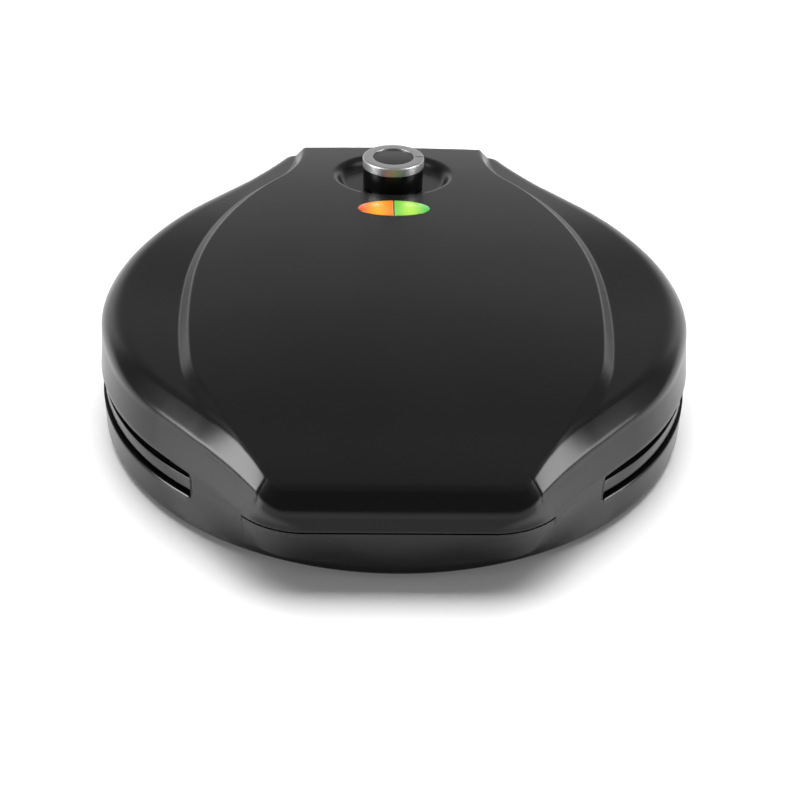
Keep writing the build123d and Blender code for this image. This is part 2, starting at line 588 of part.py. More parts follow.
# Hinge brackets of the base: a back plate on the shell's rear wall with two ears for the pin
bracket_back = Plane(origin=(0, PLATE_Y + BASE_BACK, 0), x_dir=(-1, 0, 0), z_dir=(0, 1, 0))
with BuildPart() as brackets:
    with BuildSketch(bracket_back):
        with Locations((-HINGE_X, BRACKET_Z), (HINGE_X, BRACKET_Z)):
            Rectangle(BRACKET_WIDTH, BRACKET_HEIGHT)
    extrude(amount=BRACKET_SHEET)
    ear_start = TONGUE_WIDTH / 2 + TONGUE_GAP
    for x in (-HINGE_X, HINGE_X):
        for ear_x in (x - ear_start - EAR_WIDTH, x + ear_start):
            with BuildSketch(across(ear_x)) as ear:
                with Locations((AXIS_Y, AXIS_Z)):
                    Circle(EAR_R)
                    Rectangle(AXIS_Y - BASE_BACK, 2 * EAR_R, align=(Align.MAX, Align.CENTER))
                    Circle(PIN_R + 0.02, mode=Mode.SUBTRACT)
            extrude(ear.sketch, amount=EAR_WIDTH)
    with BuildSketch(bracket_back):
        with Locations(*BRACKET_SCREW_SPOTS):
            Circle(SCREW_R + SCREW_PLAY)
    extrude(amount=BRACKET_SHEET, mode=Mode.SUBTRACT)
brackets.part.label = "base_hinge_brackets"
export_step(brackets.part, "parts/base_hinge_brackets.step")
with BuildPart() as bracket_screws:
    with BuildSketch(bracket_back.offset(BRACKET_SHEET)):
        with Locations(*BRACKET_SCREW_SPOTS):
            Circle(HEAD_R)
    extrude(amount=HEAD_HEIGHT)
    with BuildSketch(bracket_back.offset(BRACKET_SHEET)):
        with Locations(*BRACKET_SCREW_SPOTS):
            Circle(SCREW_R)
    extrude(amount=-BRACKET_SHEET - WALL - 3)
bracket_screws.part.label = "hinge_bracket_screws"
export_step(bracket_screws.part, "parts/hinge_bracket_screws.step")

# Hinge pins: a head inside, a groove and a clip outside
pin_half = TONGUE_WIDTH / 2 + TONGUE_GAP + EAR_WIDTH
with BuildPart() as pins:
    for x, out in ((-HINGE_X, -1), (HINGE_X, 1)):
        side_plane = Plane(origin=(x - out * (pin_half + 1.6), PLATE_Y + AXIS_Y, AXIS_Z), z_dir=(out, 0, 0))
        with BuildSketch(side_plane) as head:
            Circle(4)
        extrude(head.sketch, amount=1.6)
        with BuildSketch(side_plane) as shank:
            Circle(PIN_R)
        extrude(shank.sketch, amount=2 * pin_half + 3.6)
        with BuildSketch(side_plane.offset(2 * pin_half + 1.7)) as groove:
            Circle(PIN_R)
            Circle(PIN_R - 0.6, mode=Mode.SUBTRACT)
        extrude(groove.sketch, amount=0.9, mode=Mode.SUBTRACT)
pins.part.label = "hinge_pins"
export_step(pins.part, "parts/hinge_pins.step")
with BuildPart() as pin_clips:
    for x, out in ((-HINGE_X, -1), (HINGE_X, 1)):
        clip_plane = Plane(origin=(x + out * (pin_half + 0.15), PLATE_Y + AXIS_Y, AXIS_Z), z_dir=(out, 0, 0))
        with BuildSketch(clip_plane) as snap:
            Circle(4.4)
            Circle(PIN_R - 0.55, mode=Mode.SUBTRACT)
            with Locations((0, -4)):
                Rectangle(2.6, 8, mode=Mode.SUBTRACT)
        extrude(snap.sketch, amount=0.8)
pin_clips.part.label = "hinge_pin_clips"
export_step(pin_clips.part, "parts/hinge_pin_clips.step")

# Cord inlet: a bush with a flange outside and a lip inside the rear wall, bored for the cord
inlet_plane = Plane(origin=(0, PLATE_Y + BASE_BACK, INLET_Z), x_dir=(1, 0, 0), z_dir=(0, 1, 0))
with BuildPart() as inlet:
    for radius, start, length in ((INLET_R + 3, 0, 1.6), (INLET_R, -WALL, WALL), (INLET_R + 1.4, -WALL - 3.4, 3.4)):
        with BuildSketch(inlet_plane.offset(start)) as disc:
            Circle(radius)
            Circle(INLET_BORE_R, mode=Mode.SUBTRACT)
        extrude(disc.sketch, amount=length)
inlet.part.label = "cord_inlet_bush"
export_step(inlet.part, "parts/cord_inlet_bush.step")

# Terminal block on the shell's floor behind the reflector, with its brass clamps
with BuildPart() as terminal_block:
    with BuildSketch(level(SHELL_BOTTOM + WALL)):
        with Locations((BLOCK_X, BLOCK_Y)):
            Rectangle(30, 12)
            with GridLocations(9, 0, 3, 1):
                Rectangle(5, 6, mode=Mode.SUBTRACT)
    extrude(amount=11)
    with BuildSketch(level(SHELL_BOTTOM + WALL)):
        with Locations((BLOCK_X, BLOCK_Y)):
            Rectangle(30, 12)
    extrude(amount=3)
terminal_block.part.label = "terminal_block"
export_step(terminal_block.part, "parts/terminal_block.step")
with BuildPart() as terminal_clamps:
    with BuildSketch(level(SHELL_BOTTOM + WALL + 3)):
        with Locations((BLOCK_X, BLOCK_Y)):
            with GridLocations(9, 0, 3, 1):
                Rectangle(4.6, 5.6)
    extrude(amount=6)
    with BuildSketch(level(SHELL_BOTTOM + WALL + 9)):
        with Locations((BLOCK_X, BLOCK_Y)):
            with GridLocations(9, 0, 3, 1):
                Circle(1.8)
    extrude(amount=1.5)
terminal_clamps.part.label = "terminal_clamps"
export_step(terminal_clamps.part, "parts/terminal_clamps.step")

# Thermostat under the knob: ceramic body, threaded bushing, nut, terminals and a bracket
tail = 0.3
with BuildPart() as thermostat:
    with BuildSketch(level(THERMOSTAT_LOW)):
        with Locations((0, KNOB_Y)):
            RectangleRounded(30, 26, 3)
    extrude(amount=THERMOSTAT_TOP - THERMOSTAT_LOW)
    pegs([(0, KNOB_Y)], SHAFT_R + SHAFT_FIT, SHAFT_LOW - tail, THERMOSTAT_TOP, mode=Mode.SUBTRACT)
thermostat.part.label = "thermostat_body"
export_step(thermostat.part, "parts/thermostat_body.step")
with BuildPart() as bushing:
    pegs([(0, KNOB_Y)], 4.9, THERMOSTAT_TOP, BUSHING_TOP)
    pegs([(0, KNOB_Y)], SHAFT_R + SHAFT_FIT, THERMOSTAT_TOP, BUSHING_TOP, mode=Mode.SUBTRACT)
bushing.part.label = "thermostat_bushing"
export_step(bushing.part, "parts/thermostat_bushing.step")
with BuildPart() as nut:
    with BuildSketch(level(DISH_FLOOR)):
        with Locations((0, KNOB_Y)):
            RegularPolygon(7.5, 6)
            Circle(4.92, mode=Mode.SUBTRACT)
    extrude(amount=2.6)
nut.part.label = "thermostat_nut"
export_step(nut.part, "parts/thermostat_nut.step")
with BuildPart() as thermostat_tabs:
    for x, out in ((-15, -1), (15, 1)):
        with BuildSketch(level(THERMOSTAT_LOW + 4)) as tab:
            with Locations((x + out * 4, KNOB_Y - 5), (x + out * 4, KNOB_Y + 5)):
                Rectangle(8, 4.8)
        extrude(tab.sketch, amount=SHEET)
thermostat_tabs.part.label = "thermostat_tabs"
export_step(thermostat_tabs.part, "parts/thermostat_tabs.step")

# Knob and its shaft: the shaft's flat sits in the boss under the knob's top
with BuildPart() as shaft:
    pegs([(0, KNOB_Y)], SHAFT_R, SHAFT_LOW, SHAFT_TOP)
    with BuildSketch(level(BUSHING_TOP + 0.8)):
        with Locations((2.3 + 2, KNOB_Y)):
            Rectangle(4, 8)
    extrude(amount=20, mode=Mode.SUBTRACT)
shaft.part.label = "thermostat_shaft"
export_step(shaft.part, "parts/thermostat_shaft.step")
with BuildPart() as knob_body:
    pegs([(0, KNOB_Y)], KNOB_R, KNOB_FOOT, KNOB_SHOULDER)
    fillet(knob_body.edges().group_by(Axis.Z)[0], 0.8)
    pegs([(0, KNOB_Y)], KNOB_R - 1.8, KNOB_FOOT, KNOB_SHOULDER - 2.5, mode=Mode.SUBTRACT)
    pegs([(0, KNOB_Y)], 6, BUSHING_TOP + 0.8, KNOB_SHOULDER - 2.5)
    with BuildSketch(level(BUSHING_TOP + 0.8)):
        with Locations((0, KNOB_Y)):
            Circle(SHAFT_R + 0.05)
        with Locations((2.35 + 2, KNOB_Y)):
            Rectangle(4, 8, mode=Mode.SUBTRACT)
    extrude(amount=SHAFT_TOP + 0.1 - BUSHING_TOP - 0.8, mode=Mode.SUBTRACT)
knob_body.part.label = "knob_body"
export_step(knob_body.part, "parts/knob_body.step")
with BuildPart() as knob_ring:
    pegs([(0, KNOB_Y)], RING_R, KNOB_SHOULDER, KNOB_TOP)
    pegs([(0, KNOB_Y)], RING_IN_R, KNOB_SHOULDER, KNOB_TOP, mode=Mode.SUBTRACT)
    fillet(knob_ring.edges().group_by(Axis.Z)[-1].sort_by(SortBy.LENGTH)[-1:], 1.6)
    fillet(knob_ring.edges().group_by(Axis.Z)[-1].sort_by(SortBy.LENGTH)[:1], 0.5)
    with BuildSketch(level(KNOB_TOP - 0.4)):
        with Locations((18, KNOB_Y)):
            Rectangle(5, 1.2)
    extrude(amount=1, mode=Mode.SUBTRACT)
knob_ring.part.label = "knob_ring"
export_step(knob_ring.part, "parts/knob_ring.step")
with BuildPart() as knob_cap:
    pegs([(0, KNOB_Y)], RING_IN_R - 0.05, KNOB_SHOULDER, KNOB_TOP - 1.2)
    fillet(knob_cap.edges().group_by(Axis.Z)[-1], 0.6)
knob_cap.part.label = "knob_cap"
export_step(knob_cap.part, "parts/knob_cap.step")

# Lamp window: two half-oval lenses with a flange under the cover, over a housing with two lamps
for lens_name, side_sign in (("lens_orange", -1), ("lens_green", 1)):
    with BuildPart() as lens:
        for grow, low, high in ((0, LENS_LOW, LENS_TOP), (2, LENS_LOW, LENS_LOW + 1.1)):
            with BuildSketch(level(low)) as oval:
                with Locations((0, LENS_Y)):
                    Ellipse(LENS_HALF_X + grow, LENS_HALF_Y + grow)
                with Locations((side_sign * (50 + 0.3), LENS_Y)):
                    Rectangle(100, 60, mode=Mode.INTERSECT)
            extrude(oval.sketch, amount=high - low)
    lens.part.label = lens_name
    export_step(lens.part, f"parts/{lens_name}.step")
with BuildPart() as lamp_housing:
    with BuildSketch(level(HOUSING_LOW)):
        with Locations((0, LENS_Y)):
            Ellipse(LENS_HALF_X + 2, LENS_HALF_Y + 2)
    extrude(amount=LENS_LOW - HOUSING_LOW)
    with BuildSketch(level(HOUSING_LOW + 1.5)):
        with Locations((0, LENS_Y)):
            Ellipse(LENS_HALF_X + 0.6, LENS_HALF_Y + 0.6)
            Rectangle(1.2, 60, mode=Mode.SUBTRACT)
    extrude(amount=40, mode=Mode.SUBTRACT)
lamp_housing.part.label = "lamp_housing"
export_step(lamp_housing.part, "parts/lamp_housing.step")
for lamp_name, lamp_x in (("orange_lamp", -11), ("green_lamp", 11)):
    with BuildPart() as lamp:
        pegs([(lamp_x, LENS_Y)], 3, HOUSING_LOW + 1.5, HOUSING_LOW + 10)
        fillet(lamp.edges().group_by(Axis.Z)[-1], 2.5)
    lamp.part.label = lamp_name
    export_step(lamp.part, f"parts/{lamp_name}.step")

# Thermal fuse in its clip on the back of the upper plate
upper_back = 2 * PLATES_MEET - PLATE_BACK
with BuildPart() as fuse_clip:
    with BuildSketch(level(upper_back)):
        with Locations((FUSE_X, FUSE_Y)):
            Rectangle(22, 8)
    extrude(amount=SHEET)
fuse_clip.part.label = "fuse_clip"
export_step(fuse_clip.part, "parts/fuse_clip.step")
with BuildPart() as fuse:
    with BuildSketch(Plane(origin=(FUSE_X - 9, PLATE_Y + FUSE_Y, upper_back + SHEET + 2.2), z_dir=(1, 0, 0))):
        Circle(2.2)
    extrude(amount=18)
fuse.part.label = "thermal_fuse"
export_step(fuse.part, "parts/thermal_fuse.step")


def wire(points, radius, bend):
    """Insulated wire along straight runs with round bends."""
    with BuildLine() as run:
        FilletPolyline(*[(x, PLATE_Y + y, z) for x, y, z in points], radius=bend)
    with BuildSketch(Plane(origin=run.line @ 0, z_dir=run.line % 0)) as core:
        Circle(radius)
    sweep(core.sketch, path=run.line)


# Wires of the base, from the terminal block to the element's tabs, and of the lid, from the
# thermostat to the upper element's tabs and the fuse
tab_tip = LEG_END + TAB_LENGTH
tab_top = ELEMENT_Z + SHEET / 2
drop_y = tab_tip + 3.5
with BuildPart() as base_wires:
    for leg_x, block_x, low in ((-LEG_X, BLOCK_X - 9, 11.5), (LEG_X, BLOCK_X, 15.0)):
        wire([(leg_x, tab_tip - 3, tab_top + WIRE_R), (leg_x, drop_y, tab_top + WIRE_R),
              (leg_x, drop_y, low), (block_x, drop_y, low), (block_x, BLOCK_Y - 6, low)], WIRE_R, 1.8)
base_wires.part.label = "base_wires"
export_step(base_wires.part, "parts/base_wires.step")
with BuildPart() as lid_wires:
    upper_tab = 2 * PLATES_MEET - ELEMENT_Z + SHEET / 2 + WIRE_R
    high = THERMOSTAT_LOW + 4 - WIRE_R
    for out in (-1, 1):
        wire([(out * LEG_X, tab_tip - 3, upper_tab), (out * LEG_X, tab_tip + 6, upper_tab),
              (out * 20, tab_tip + 6, upper_tab), (out * 20, KNOB_Y + 5, upper_tab + 4),
              (out * 20, KNOB_Y + 5, high)], WIRE_R, 1.8)
lid_wires.part.label = "lid_wires"
export_step(lid_wires.part, "parts/lid_wires.step")
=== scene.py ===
from math import atan2, cos, pi, radians, sin, sqrt, tan

import bmesh
import bpy
import numpy as np
from mathutils import Matrix, Vector


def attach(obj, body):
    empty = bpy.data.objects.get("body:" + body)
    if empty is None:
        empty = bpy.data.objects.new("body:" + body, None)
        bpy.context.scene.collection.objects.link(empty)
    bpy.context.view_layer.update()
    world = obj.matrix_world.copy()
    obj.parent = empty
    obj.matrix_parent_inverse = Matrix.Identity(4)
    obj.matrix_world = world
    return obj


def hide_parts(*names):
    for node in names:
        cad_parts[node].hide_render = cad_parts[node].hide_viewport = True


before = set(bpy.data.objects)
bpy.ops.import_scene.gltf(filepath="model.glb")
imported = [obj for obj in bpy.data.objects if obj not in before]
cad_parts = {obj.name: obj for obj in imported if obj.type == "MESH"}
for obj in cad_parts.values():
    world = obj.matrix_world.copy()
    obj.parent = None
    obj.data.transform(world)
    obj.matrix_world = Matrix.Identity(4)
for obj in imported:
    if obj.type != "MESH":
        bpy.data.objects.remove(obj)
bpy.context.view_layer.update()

# View: a long lens in front of the closed cooker, looking down at about a third of a right angle.
# Lengths are in millimetres from the table under the middle of the cooking plates, angles in
# radians, and the pixel is where that middle falls in the picture.
MM = 0.001
PLATE_Y = -9.0
VIEW_DISTANCE = 850.0
VIEW_HEIGHT = 0.576563
VIEW_SIDE = -0.0240897
VIEW_ROLL = 0.0215158
FOCAL_PIXELS = 1393.48
PLATE_PIXEL = (393.337, 397.451)
IMAGE_SIZE = 800
FILM_WIDTH = 36.0


def turned(first, second, angle):
    """Two directions at right angles to each other, turned together in their plane."""
    return first * cos(angle) - second * sin(angle), second * cos(angle) + first * sin(angle)


eye = Vector((cos(VIEW_HEIGHT) * sin(VIEW_SIDE), -cos(VIEW_HEIGHT) * cos(VIEW_SIDE), sin(VIEW_HEIGHT)))
eye *= VIEW_DISTANCE
forward = -eye.normalized()
right = forward.cross(Vector((0, 0, 1))).normalized()
up = right.cross(forward)
forward, right = turned(forward, right, atan2(PLATE_PIXEL[0] - IMAGE_SIZE / 2, FOCAL_PIXELS))
forward, up = turned(forward, up, -atan2(PLATE_PIXEL[1] - IMAGE_SIZE / 2, FOCAL_PIXELS))
right, up = turned(right, up, -VIEW_ROLL)
long_lens = bpy.data.cameras.new("camera")
long_lens.lens = FOCAL_PIXELS / IMAGE_SIZE * FILM_WIDTH
long_lens.sensor_width = FILM_WIDTH
camera = bpy.data.objects.new("camera", long_lens)
bpy.context.scene.collection.objects.link(camera)
stand = Matrix((right, up, -forward)).transposed().to_4x4()
stand.translation = (eye + Vector((0, PLATE_Y, 0))) * MM
camera.matrix_world = stand
bpy.context.scene.camera = camera
bpy.context.scene.view_settings.view_transform = "Standard"

# Table: a wide sheet of satin white card under the cooker, which keeps its soft shadow and a faint
# mirror image. For the camera alone it brightens to pure white away from the cooker.
TABLE_REACH = 4.0
TABLE_GREY = 0.86
TABLE_ROUGHNESS = 0.22
TABLE_GLOW = 0.10
WHITE_FROM = 0.45
WHITE_FULL = 1.3


def new_object(name, mesh):
    piece = bpy.data.objects.new(name, mesh)
    bpy.context.scene.collection.objects.link(piece)
    return piece


def flat_sheet(name, corners):
    mesh = bpy.data.meshes.new(name)
    mesh.from_pydata(corners, [], [range(len(corners))])
    return new_object(name, mesh)


def new_material(name):
    """A node material with its main shader, as (material, nodes, links, shader)."""
    material = bpy.data.materials.new(name)
    material.use_nodes = True
    tree = material.node_tree
    return material, tree.nodes, tree.links, tree.nodes["Principled BSDF"]


def add_range(nodes, start, end, low, high, smooth=False):
    """A node that carries values between start and end over to low and high."""
    span = nodes.new("ShaderNodeMapRange")
    span.inputs["From Min"].default_value = start
    span.inputs["From Max"].default_value = end
    span.inputs["To Min"].default_value = low
    span.inputs["To Max"].default_value = high
    if smooth:
        span.interpolation_type = "SMOOTHSTEP"
    return span


table = flat_sheet("table", [(-TABLE_REACH, -TABLE_REACH, 0), (TABLE_REACH, -TABLE_REACH, 0),
                             (TABLE_REACH, TABLE_REACH, 0), (-TABLE_REACH, TABLE_REACH, 0)])
table_white, nodes, links, shader = new_material("table_white")
shader.inputs["Base Color"].default_value = (TABLE_GREY, TABLE_GREY, TABLE_GREY, 1)
shader.inputs["Roughness"].default_value = TABLE_ROUGHNESS
shader.inputs["Emission Color"].default_value = (1, 1, 1, 1)
table_spot = nodes.new("ShaderNodeTexCoord")
distance = nodes.new("ShaderNodeVectorMath")
distance.operation = "LENGTH"
whiter = add_range(nodes, WHITE_FROM, WHITE_FULL, TABLE_GLOW, 1.0, smooth=True)
seen = nodes.new("ShaderNodeLightPath")
glow = nodes.new("ShaderNodeMix")
glow.inputs["A"].default_value = TABLE_GLOW
links.new(table_spot.outputs["Object"], distance.inputs[0])
links.new(distance.outputs["Value"], whiter.inputs["Value"])
links.new(seen.outputs["Is Camera Ray"], glow.inputs["Factor"])
links.new(whiter.outputs["Result"], glow.inputs["B"])
links.new(glow.outputs["Result"], shader.inputs["Emission Strength"])
table.data.materials.append(table_white)

# Lamps: a tall soft box on each side of the nose, for the bright lines along the black mouldings,
# and one wide box above the back that gives the shadow and shows in no gloss.
SIDE_BOX_PLACE = (1.55, -0.36, 0.80)
SIDE_BOX_AIM = (0.08, -0.16, 0.05)
SIDE_BOX_SIZE = (0.62, 1.2)
LEFT_WATTS = 41
RIGHT_WATTS = 33
TOP_BOX_PLACE = (0, 0.42, 2.1)
TOP_BOX_SIZE = (2.2, 1.5)
TOP_WATTS = 84


def soft_box(name, place, aim, size, watts):
    lamp = bpy.data.lights.new(name, "AREA")
    lamp.shape = "RECTANGLE"
    lamp.size, lamp.size_y = size
    lamp.energy = watts
    box = bpy.data.objects.new(name, lamp)
    box.location = place
    box.rotation_euler = (Vector(aim) - Vector(place)).to_track_quat("-Z", "Y").to_euler()
    bpy.context.scene.collection.objects.link(box)
    return box


for name, side, watts in (("left_box", -1, LEFT_WATTS), ("right_box", 1, RIGHT_WATTS)):
    place = (side * SIDE_BOX_PLACE[0], *SIDE_BOX_PLACE[1:])
    aim = (side * SIDE_BOX_AIM[0], *SIDE_BOX_AIM[1:])
    side_box = soft_box(name, place, aim, SIDE_BOX_SIZE, watts)
    side_box.visible_diffuse = False
top_box = soft_box("top_box", TOP_BOX_PLACE, (0, 0, 0), TOP_BOX_SIZE, TOP_WATTS)
top_box.visible_glossy = False

# Room: dim walls under a lighter ceiling, white to the camera. Behind the cooker hangs a pale sheet
# that fades upwards, and its reflection shades the lid's panel.
WALL_GLOW = 0.09
CEILING_GLOW = 0.32
CEILING_FROM = 0.55
CEILING_FULL = 0.95
SWEEP_Y = 3.2
SWEEP_HALF = 4.0
SWEEP_TOP = 3.2
SWEEP_FOOT_GLOW = 1.25
SWEEP_HEAD_GLOW = 0.26
FADE_FROM = 0.9
FADE_FULL = 1.85
room = bpy.data.worlds.new("room")
room.use_nodes = True
nodes, links = room.node_tree.nodes, room.node_tree.links
room_side = nodes.new("ShaderNodeTexCoord")
room_split = nodes.new("ShaderNodeSeparateXYZ")
overhead = add_range(nodes, CEILING_FROM, CEILING_FULL, WALL_GLOW, CEILING_GLOW)
seen = nodes.new("ShaderNodeLightPath")
glow = nodes.new("ShaderNodeMix")
glow.inputs["B"].default_value = 1.0
links.new(room_side.outputs["Generated"], room_split.inputs["Vector"])
links.new(room_split.outputs["Z"], overhead.inputs["Value"])
links.new(seen.outputs["Is Camera Ray"], glow.inputs["Factor"])
links.new(overhead.outputs["Result"], glow.inputs["A"])
links.new(glow.outputs["Result"], nodes["Background"].inputs["Strength"])
nodes["Background"].inputs["Color"].default_value = (1, 1, 1, 1)
bpy.context.scene.world = room

sweep = flat_sheet("rear_sweep", [(-SWEEP_HALF, SWEEP_Y, 0), (SWEEP_HALF, SWEEP_Y, 0),
                                  (SWEEP_HALF, SWEEP_Y, SWEEP_TOP), (-SWEEP_HALF, SWEEP_Y, SWEEP_TOP)])
sweep_white, nodes, links, shader = new_material("sweep_white")
nodes.remove(shader)
sheet_glow = nodes.new("ShaderNodeEmission")
sheet_spot = nodes.new("ShaderNodeTexCoord")
sheet_split = nodes.new("ShaderNodeSeparateXYZ")
fade = add_range(nodes, FADE_FROM, FADE_FULL, SWEEP_FOOT_GLOW, SWEEP_HEAD_GLOW, smooth=True)
links.new(sheet_spot.outputs["Object"], sheet_split.inputs["Vector"])
links.new(sheet_split.outputs["Z"], fade.inputs["Value"])
links.new(fade.outputs["Result"], sheet_glow.inputs["Strength"])
links.new(sheet_glow.outputs["Emission"], nodes["Material Output"].inputs["Surface"])
sweep.data.materials.append(sweep_white)

# Rubber feet: four round pads of soft black rubber, each with a stem pulled through the shell's
# floor. Their skin is matt and slightly pitted.
WORKED_DETAIL = 5.0
WORKED_DEPTH = 0.0002
WORKED_SPREAD = (0.8, 1.25)


def add_noise(nodes, links, scale, detail):
    """A noise that keeps its place on the piece."""
    where = nodes.new("ShaderNodeTexCoord")
    noise = nodes.new("ShaderNodeTexNoise")
    noise.inputs["Scale"].default_value = scale
    noise.inputs["Detail"].default_value = detail
    links.new(where.outputs["Object"], noise.inputs["Vector"])
    return noise


def vary(nodes, links, shader, noise, tones, roughness):
    """Colour and roughness that drift with a noise, each between two values."""
    tone = nodes.new("ShaderNodeValToRGB")
    tone.color_ramp.elements[0].color = (*tones[0], 1)
    tone.color_ramp.elements[1].color = (*tones[1], 1)
    gloss = add_range(nodes, 0, 1, *roughness)
    links.new(noise.outputs["Fac"], tone.inputs["Fac"])
    links.new(tone.outputs["Color"], shader.inputs["Base Color"])
    links.new(noise.outputs["Fac"], gloss.inputs["Value"])
    links.new(gloss.outputs["Result"], shader.inputs["Roughness"])


def emboss(nodes, links, shader, noise, strength, depth):
    """Fine relief from a noise, its depth in metres."""
    relief = nodes.new("ShaderNodeBump")
    relief.inputs["Strength"].default_value = strength
    relief.inputs["Distance"].default_value = depth
    links.new(noise.outputs["Fac"], relief.inputs["Height"])
    links.new(relief.outputs["Normal"], shader.inputs["Normal"])


def worked(name, low, high, metallic, rough, scale, bump):
    """Metal, rubber or ceramic as it comes from its tool: two tones, uneven gloss and fine grain."""
    material, nodes, links, shader = new_material(name)
    grain = add_noise(nodes, links, scale, WORKED_DETAIL)
    vary(nodes, links, shader, grain, (low, high), [rough * share for share in WORKED_SPREAD])
    emboss(nodes, links, shader, grain, bump, WORKED_DEPTH)
    shader.inputs["Metallic"].default_value = metallic
    return material


def paint(material, *names):
    """Give pieces of the frame one finish where they stand."""
    for name in names:
        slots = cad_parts[name].data.materials
        slots.clear()
        slots.append(material)


rubber = worked("foot_rubber", (0.012, 0.012, 0.012), (0.022, 0.022, 0.022), 0.0, 0.8, 700, 0.4)
paint(rubber, "rubber_feet")

# Lower shell: a round tub of black moulded plastic that carries everything in the base. Its wall is
# low at the sides, beside the gap. In front it rises as an apron that leans out to the lid's nose,
# with a grip panel standing proud in its middle.
BODY_R = 171.0
NOSE_FRONT = 181.0
NOSE_SIDE = 47.0
NOSE_CORNER_R = 44.0
SIDE_TURN = 63.0
HIP_R, HIP_TURN = 260.0, 23.0
NECK_R, NECK_TURN = 150.0, -17.0
LID_BACK = 199.0
BACK_CORNER_R = 12.0
SHELL_R = 171.25
SHELL_FOOT = 3.9
SHELL_RIM = 24.1
FOOT_ROUND = ((6.0, SHELL_FOOT), (2.0, SHELL_FOOT), (0.9, 4.25), (0.25, 5.0), (0.0, 6.2))
REAR_START = 110.0
APRON_HALF = 107.0
APRON_TOP = 39.9
GRIP_HALF = 78.0
GRIP_TOP = 37.9
GRIP_FOOT = 14.5
GRIP_PROUD = 0.9
GRIP_EDGE = 0.3
PLAIN_HEIGHTS = (8.0, 11.0, 14.0)
GRIP_HEIGHTS = (GRIP_FOOT, 18.0, 21.0, SHELL_RIM)
APRON_ROWS = 5
LEAN_LOW, LEAN_HIGH = 8.0, 37.0
LEAN_HALF = 124.0
NOSE_INSET = 1.0
NOSE_REAR = -110.0
LIP_DEPTH = 2.4
SKIN_THICKNESS = 0.5
SHELL_CREASE = 32
FRONT_STEP = 1.5
STEP_GAP = 0.5
CIRCLE_STEPS = 110
DRIFT_SCALE, DRIFT_DETAIL = 9.0, 4.0
RIPPLE_SCALE, RIPPLE_DETAIL = 2600.0, 2.0
RIPPLE_DEPTH = 0.0001
TONE_SPREAD = (0.8, 1.25)
GLOSS_SPREAD = (0.85, 1.15)


def moulded_black(name, colour, roughness, ripple, gloss_level):
    """Black moulded plastic: faint colour drift, fine surface ripple and uneven gloss."""
    material, nodes, links, shader = new_material(name)
    drift = add_noise(nodes, links, DRIFT_SCALE, DRIFT_DETAIL)
    fine = add_noise(nodes, links, RIPPLE_SCALE, RIPPLE_DETAIL)
    tones = [[part * share for part in colour] for share in TONE_SPREAD]
    vary(nodes, links, shader, drift, tones, [roughness * share for share in GLOSS_SPREAD])
    emboss(nodes, links, shader, fine, ripple, RIPPLE_DEPTH)
    shader.inputs["Specular IOR Level"].default_value = gloss_level
    return material


def run_counts(steps):
    """How many points, about a millimetre apart, each run or bend gets."""
    lengths = [step[0] * (abs(radians(step[1])) if len(step) == 2 else 1) for step in steps]
    return [max(4, int(length)) for length in lengths]


def march(start, heading, steps, counts):
    """Points and inward normals along straight runs (length,) and bends (radius, turn)."""
    points, normals = [], []
    x, y = start
    for step, count in zip(steps, counts):
        if len(step) == 1:
            for k in range(count):
                t = step[0] * k / count
                points.append((x + t * cos(heading), y + t * sin(heading)))
                normals.append((-sin(heading), cos(heading)))
            x, y = x + step[0] * cos(heading), y + step[0] * sin(heading)
        else:
            radius, turn = step[0], radians(step[1])
            side = 1 if turn > 0 else -1
            centre = (x - side * radius * sin(heading), y + side * radius * cos(heading))
            for k in range(count):
                h = heading + turn * k / count
                points.append((centre[0] + side * radius * sin(h), centre[1] - side * radius * cos(h)))
                normals.append((-sin(h), cos(h)))
            heading += turn
            x, y = centre[0] + side * radius * sin(heading), centre[1] - side * radius * cos(heading)
    return points, normals, (x, y), heading


def both_sides(points, normals):
    """The whole closed outline from its right half, which starts on the middle line in front."""
    left = [(-x, y) for x, y in points[:0:-1]]
    left_normals = [(-x, y) for x, y in normals[:0:-1]]
    return np.array(points + left), np.array(normals + left_normals)


nose_side = radians(NOSE_SIDE)
side_run = (NOSE_FRONT - BODY_R * cos(nose_side)) / sin(nose_side)
corner_x = BODY_R * sin(nose_side) - side_run * cos(nose_side)


def lid_outline(corner_r, counts):
    """The plan that lid and apron share, with its nose corners rounded by a radius."""
    start = (0, -NOSE_FRONT)
    cut = corner_r * tan(nose_side / 2)
    steps = [(corner_x - cut,), (corner_r, NOSE_SIDE), (side_run - cut,),
             (BODY_R, SIDE_TURN), (HIP_R, HIP_TURN), (NECK_R, NECK_TURN)]
    _, _, neck_end, heading = march(start, 0.0, steps, run_counts(steps))
    back_cut = BACK_CORNER_R * tan((pi - heading) / 2)
    back_run = (LID_BACK - neck_end[1]) / sin(heading) - back_cut
    back_half = neck_end[0] + (back_run + back_cut) * cos(heading) - back_cut
    steps += [(back_run,), (BACK_CORNER_R, 180 - heading * 180 / pi), (back_half,)]
    counts = counts or run_counts(steps)
    points, normals, _, _ = march(start, 0.0, steps, counts)
    return *both_sides(points, normals), counts


def skin_object(name, spots, faces):
    """A smoothly shaded piece, from spots in millimetres about the middle of the plates."""
    mesh = bpy.data.meshes.new(name)
    mesh.from_pydata(((np.array(spots) + (0, PLATE_Y, 0)) * MM).tolist(), [], faces)
    mesh.polygons.foreach_set("use_smooth", [True] * len(mesh.polygons))
    return new_object(name, mesh)


shell_black = moulded_black("shell_black", (0.007, 0.007, 0.0075), 0.22, 0.05, 0.27)
paint(shell_black, "lower_shell")

